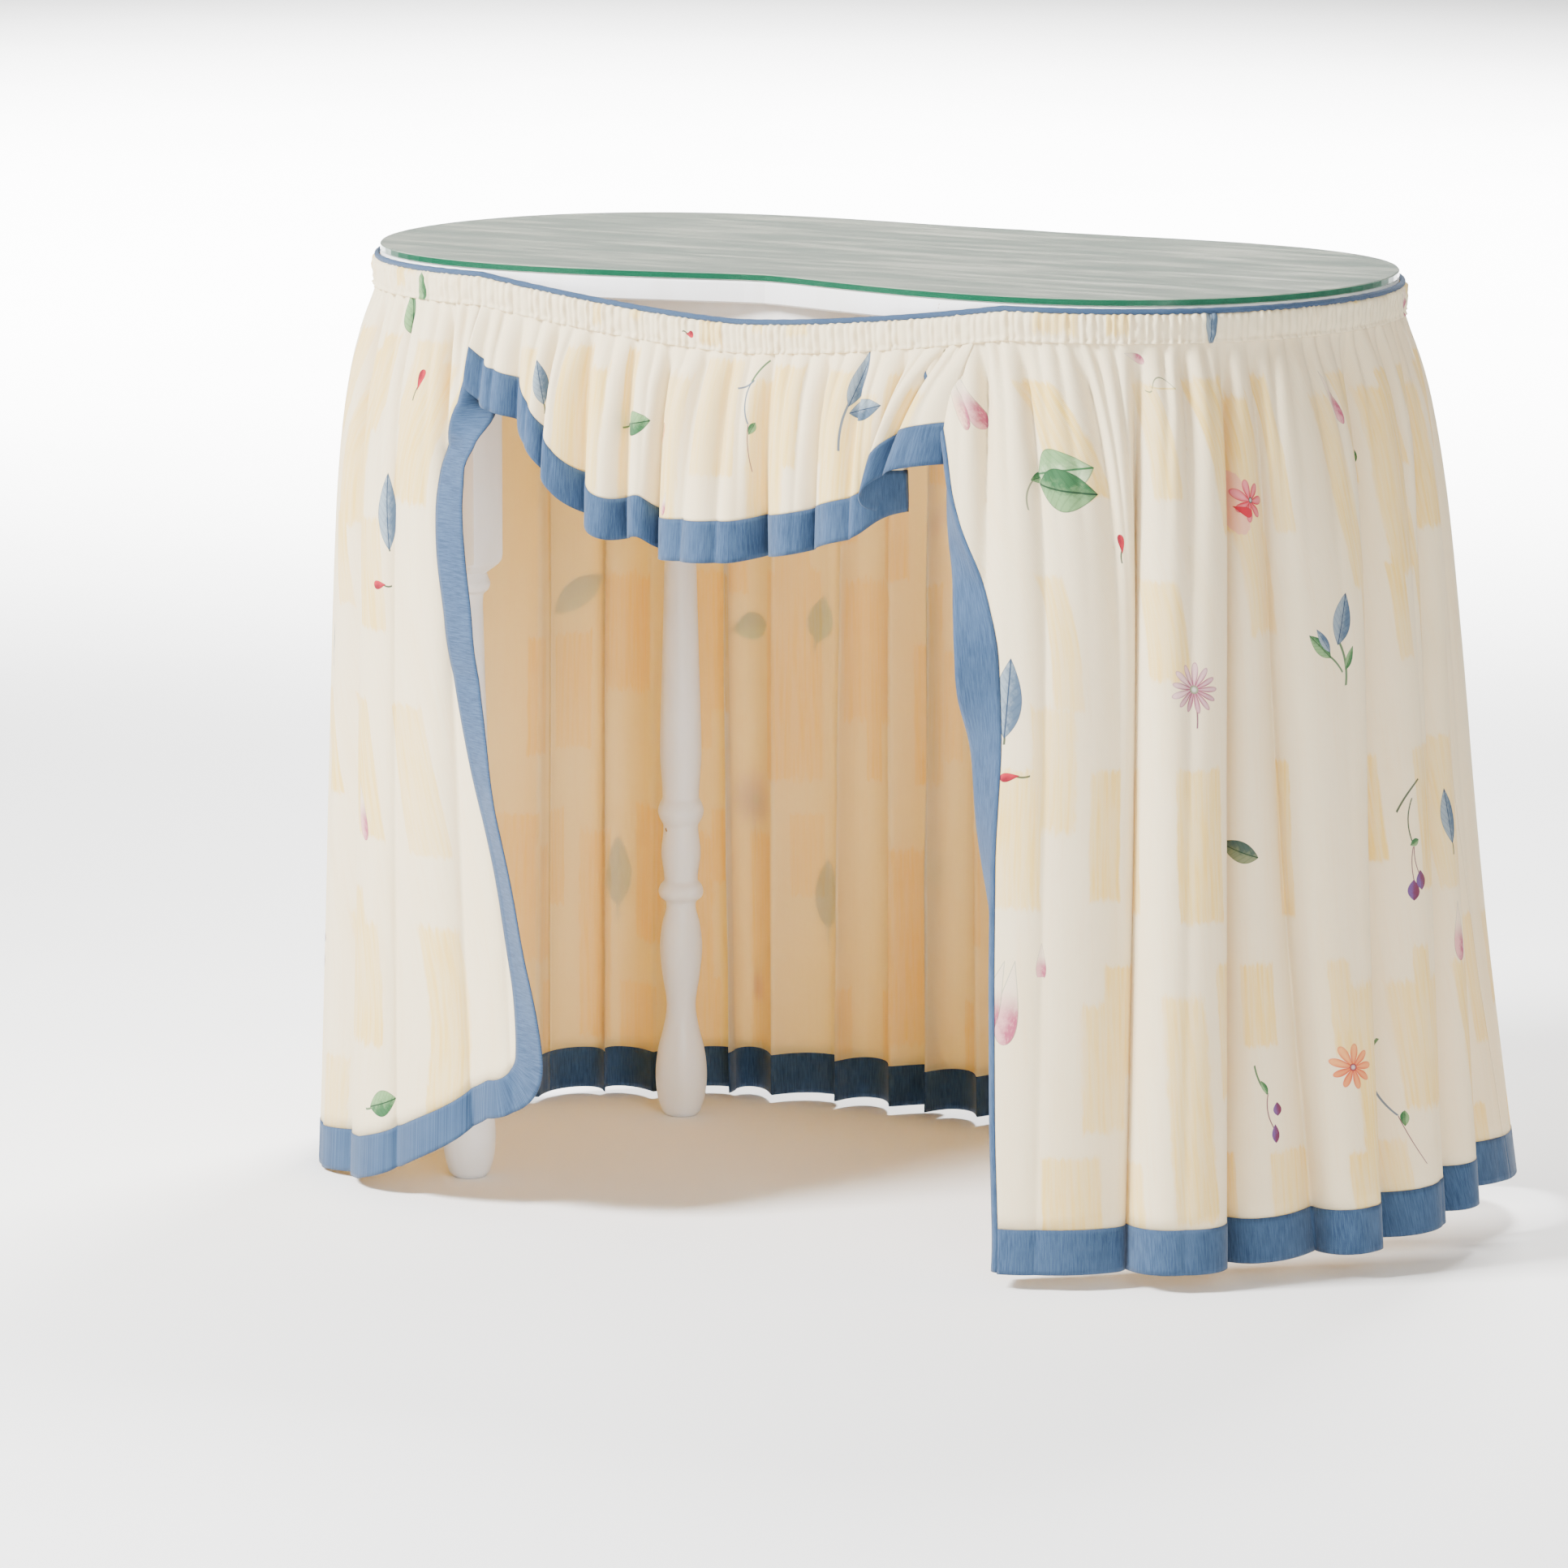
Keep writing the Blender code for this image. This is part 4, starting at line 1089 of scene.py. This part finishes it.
def print_motifs(item, rows, prints):
    """Give the faces round each motif its material and their places about its centre."""
    mesh = item.data
    loops = len(mesh.loops)
    flat = np.empty(loops * 2, np.float32)
    mesh.uv_layers["flat"].data.foreach_get("uv", flat)
    flat = flat.reshape(-1, 4, 2)
    centres = flat.mean(1)
    motif = np.full_like(flat, 9.0)
    slots = np.zeros(len(mesh.polygons), np.int32)
    nearest = np.full(len(mesh.polygons), 1e9)
    used = [prints[None]]
    for kind, u, v, size, turn in rows:
        away = np.linalg.norm(centres - (u, v), axis=1) / size
        take = (away < MOTIF_REACH) & (away < nearest)
        if not take.any():
            continue
        if kind not in prints:
            prints[kind] = make_print("printed_cotton_" + kind, kind)
        if prints[kind] not in used:
            used.append(prints[kind])
        nearest[take] = away[take]
        slots[take] = used.index(prints[kind])
        c, s = math.cos(math.radians(turn)), math.sin(math.radians(turn))
        local = (flat[take] - (u, v)) / (0.01 * size)
        motif[take] = local @ np.array([[c, -s], [s, c]])
    layer = mesh.uv_layers.new(name="motif")
    layer.data.foreach_set("uv", motif.ravel().astype(np.float32))
    for material in used + [prints["reverse"]]:
        mesh.materials.append(material)
    mesh.polygons.foreach_set("material_index", slots)
    mesh.update()


def make_blue():
    n = Nodes("blue_cotton_weave")
    uv = n.uv("flat")
    threads = n.streaks(uv, (900, 60, 1), 3, 0.7)
    cloud = n.noise(n.place(), 26.0, 3)
    colour = n.mix(n.ramp(threads, 0.3, 0.7), linear(38, 61, 90), linear(62, 87, 118))
    colour = n.mix(n.ramp(cloud, 0.35, 0.7, 0.0, 0.25), colour, linear(74, 97, 126))
    return n.surface(cloth_shader(n, colour, uv, 0.10))


def make_paint():
    n = Nodes("chipped_white_paint")
    place = n.place()
    chips = n.noise(place, 95.0, 4, 0.62) + (n.noise(place, 7.0) - 0.5) * 0.35
    bare = n.ramp(chips, 0.735, 0.755)
    grime = n.ramp(n.streaks(place, (40, 40, 9), 3), 0.4, 0.75, 0.0, 0.35)
    white = n.mix(grime, linear(238, 238, 240), linear(222, 217, 208))
    grain = n.streaks(place, (300, 300, 30), 3)
    wood = n.mix(grain, linear(120, 84, 52), linear(176, 138, 96))
    brushed = n.streaks(place, (420, 420, 30), 3)
    return n.surface(n.principled(
        Base_Color=n.mix(bare, white, wood), Roughness=n.ramp(bare, 0, 1, 0.34, 0.75),
        Normal=n.bump(brushed * 0.25 - bare, 0.5, 0.0005), Specular_IOR_Level=0.5))


def make_pine():
    n = Nodes("bare_pine")
    place = n.place()
    grain = n.streaks(place, (60, 60, 600), 4, 0.6)
    rings = n.streaks(place, (12, 12, 120))
    colour = n.mix(n.ramp(grain, 0.3, 0.7), linear(196, 158, 108), linear(222, 188, 140))
    colour = n.mix(n.ramp(rings, 0.5, 0.62, 0.0, 0.5), colour, linear(168, 122, 74))
    return n.surface(n.principled(Base_Color=colour, Roughness=0.62,
                                  Normal=n.bump(grain, 0.3, 0.0004)))


def make_steel():
    n = Nodes("zinc_steel")
    spots = n.noise(n.place(), 900.0, 3)
    colour = n.mix(n.ramp(spots, 0.35, 0.7), linear(170, 170, 166), linear(200, 200, 198))
    return n.surface(n.principled(Base_Color=colour, Roughness=n.ramp(spots, 0.3, 0.7, 0.28, 0.5),
                                  Metallic=1.0, Normal=n.bump(spots, 0.2, 0.0001)))


def make_elastic():
    n = Nodes("elastic_webbing")
    place = n.place()
    _, _, z = n.split(place)
    ribs = n.math("SINE", z * 4200.0)
    colour = n.mix(n.ramp(ribs, -1, 1, 0.0, 0.5), linear(236, 235, 230), linear(198, 196, 190))
    fuzzy = ribs + n.noise(place, 1200.0)
    return n.surface(n.principled(Base_Color=colour, Roughness=0.85,
                                  Normal=n.bump(fuzzy, 0.5, 0.0003)))


def make_glass():
    """Dusty clear glass with a deep green edge; its faces' grey-green colour is partly the glass's
    own green tint and partly a painted reflection of a dark room.
    """
    n = Nodes("float_glass")
    _, _, up = n.split(n.add("NewGeometry", out="Normal"))
    side = n.ramp(abs(up), 0.9, 0.5)
    smear = n.streaks(n.place(), (7, 60, 1), 4, 0.6)
    # Colour of the faces: the glass's green tint, greyed as a painted reflection of a dark room,
    # with smeared streaks
    tint_with_painted_reflection = n.mix(n.ramp(smear, 0.35, 0.7), linear(188, 202, 190), linear(226, 228, 212))
    return n.surface(n.principled(
        Base_Color=n.mix(side, tint_with_painted_reflection, linear(8, 84, 58)), IOR=1.5,
        Roughness=n.ramp(smear, 0.35, 0.75, 0.08, 0.26),
        Transmission_Weight=n.ramp(side, 0, 1, 0.62, 0.35)))


def dress(item, *materials):
    item.data.materials.clear()
    for material in materials:
        item.data.materials.append(material)


# ---------------------------------------------------------------- camera, light and floor
def make_camera():
    """The photo's camera, solved from the floor contact points of the table and the chair."""
    data = bpy.data.cameras.new("camera")
    data.lens = 215.29
    data.sensor_width = 36.0
    data.clip_end = 100.0
    camera = new_object("camera", data)
    camera.location = (3.8182, -6.4937, 1.5535)
    camera.rotation_euler = (math.radians(80.803), 0.0, math.radians(31.15))
    bpy.context.scene.camera = camera


def area_light(name, place, target, size, power, spread=180):
    data = bpy.data.lights.new(name, "AREA")
    data.size = size
    data.energy = power
    data.spread = math.radians(spread)
    light = new_object(name, data)
    light.location = place
    light.rotation_euler = (Vector(target) - Vector(place)).to_track_quat("-Z", "Y").to_euler()


def make_world():
    """A pale sky, darker towards the horizon."""
    world = bpy.data.worlds.new("studio")
    bpy.context.scene.world = world
    world.use_nodes = True
    tree = world.node_tree
    coords = tree.nodes.new("ShaderNodeTexCoord")
    split = tree.nodes.new("ShaderNodeSeparateXYZ")
    ramp = tree.nodes.new("ShaderNodeMapRange")
    tree.links.new(coords.outputs["Generated"], split.inputs[0])
    tree.links.new(split.outputs[2], ramp.inputs["Value"])
    for key, value in (("From Min", 0.0), ("From Max", 0.7), ("To Min", 0.22), ("To Max", 0.55)):
        ramp.inputs[key].default_value = value
    background = tree.nodes["Background"]
    background.inputs["Color"].default_value = (1.0, 0.99, 0.97, 1.0)
    tree.links.new(ramp.outputs[0], background.inputs["Strength"])


def make_stage():
    half, under = 40.0, -0.0002
    shape = bmesh.new()
    corners = ((-half, -half), (half, -half), (half, half), (-half, half))
    shape.faces.new([shape.verts.new((x, y, under)) for x, y in corners])
    mesh = bpy.data.meshes.new("floor")
    shape.to_mesh(mesh)
    shape.free()
    floor = new_object("floor", mesh)
    n = Nodes("pale_floor")
    tone = n.ramp(n.noise(n.place(), 1.5), 0.3, 0.7)
    colour = n.mix(tone, (0.90, 0.90, 0.90), (0.93, 0.93, 0.93))
    dress(floor, n.surface(n.principled(Base_Color=colour, Roughness=0.9, Specular_IOR_Level=0.1)))
    make_world()
    area_light("key", (-2.3, -3.0, 3.3), (0.0, 0.0, 0.4), 1.3, 860)
    area_light("fill", (3.4, -3.4, 1.5), (0.1, 0.0, 0.4), 1.8, 145)
    area_light("behind", (-0.5, 2.2, 2.8), (-0.1, 0.3, 0.35), 0.9, 65, spread=90)
    area_light("backdrop", (-4.0, 6.3, 3.2), (-4.0, 6.4, 0.0), 7.0, 2300, spread=100)


def make_sheets():
    """The pieces of cloth that hang, by node, and whether each is blue."""
    pieces = {"skirt_right": (make_right_panel(), False),
              "border_right": (make_right_border(), True),
              "skirt_left": (make_left_panel(), False),
              "border_left": (make_left_border(), True)}
    for side, k in (("right", 1), ("left", 2)):
        panel, hem = make_back_panel(side, k)
        pieces["skirt_back_" + side] = (panel, False)
        pieces["hem_back_" + side] = (hem, True)
    crescent, border = make_valance()
    pieces["valance"] = (crescent, False)
    pieces["valance_border"] = (border, True)
    return pieces


def build():
    prints = {None: make_print("printed_cotton"), "reverse": make_reverse()}
    rng = np.random.default_rng(41)
    blue = make_blue()
    paint = make_paint()
    pieces = make_sheets()
    for node, (item, is_blue) in pieces.items():
        if is_blue:
            dress(item, blue)
            solidify(item, BORDER_GAUGE, 0.0)
        else:
            rows = MOTIFS.get(node, [])
            print_motifs(item, scatter(item.data, rows, rng) if "back" in node else rows, prints)
            solidify(item, CLOTH_GAUGE).material_offset = len(item.data.materials)
        settle(item, node)
    heading = make_heading()
    print_motifs(heading, MOTIFS["heading_casing"], prints)
    settle(heading, "heading_casing")
    piping = make_piping()
    dress(piping, blue)
    settle(piping, "top_piping")
    for corner in ("front_left", "front_right", "back_left", "back_right"):
        leg = make_leg("leg_" + corner)
        dress(leg, paint)
        settle(leg, "leg_" + corner)
    finishes = {"white_paint": paint, "bare_pine": make_pine(), "zinc_steel": make_steel(),
                "elastic_webbing": make_elastic(), "float_glass": make_glass()}
    for part in frame["record"]["subparts"]:
        node = frame["nodes"][part["node"]]
        if not node.hide_render:
            dress(node, finishes[part["material_slot"]])


build()
make_camera()
make_stage()
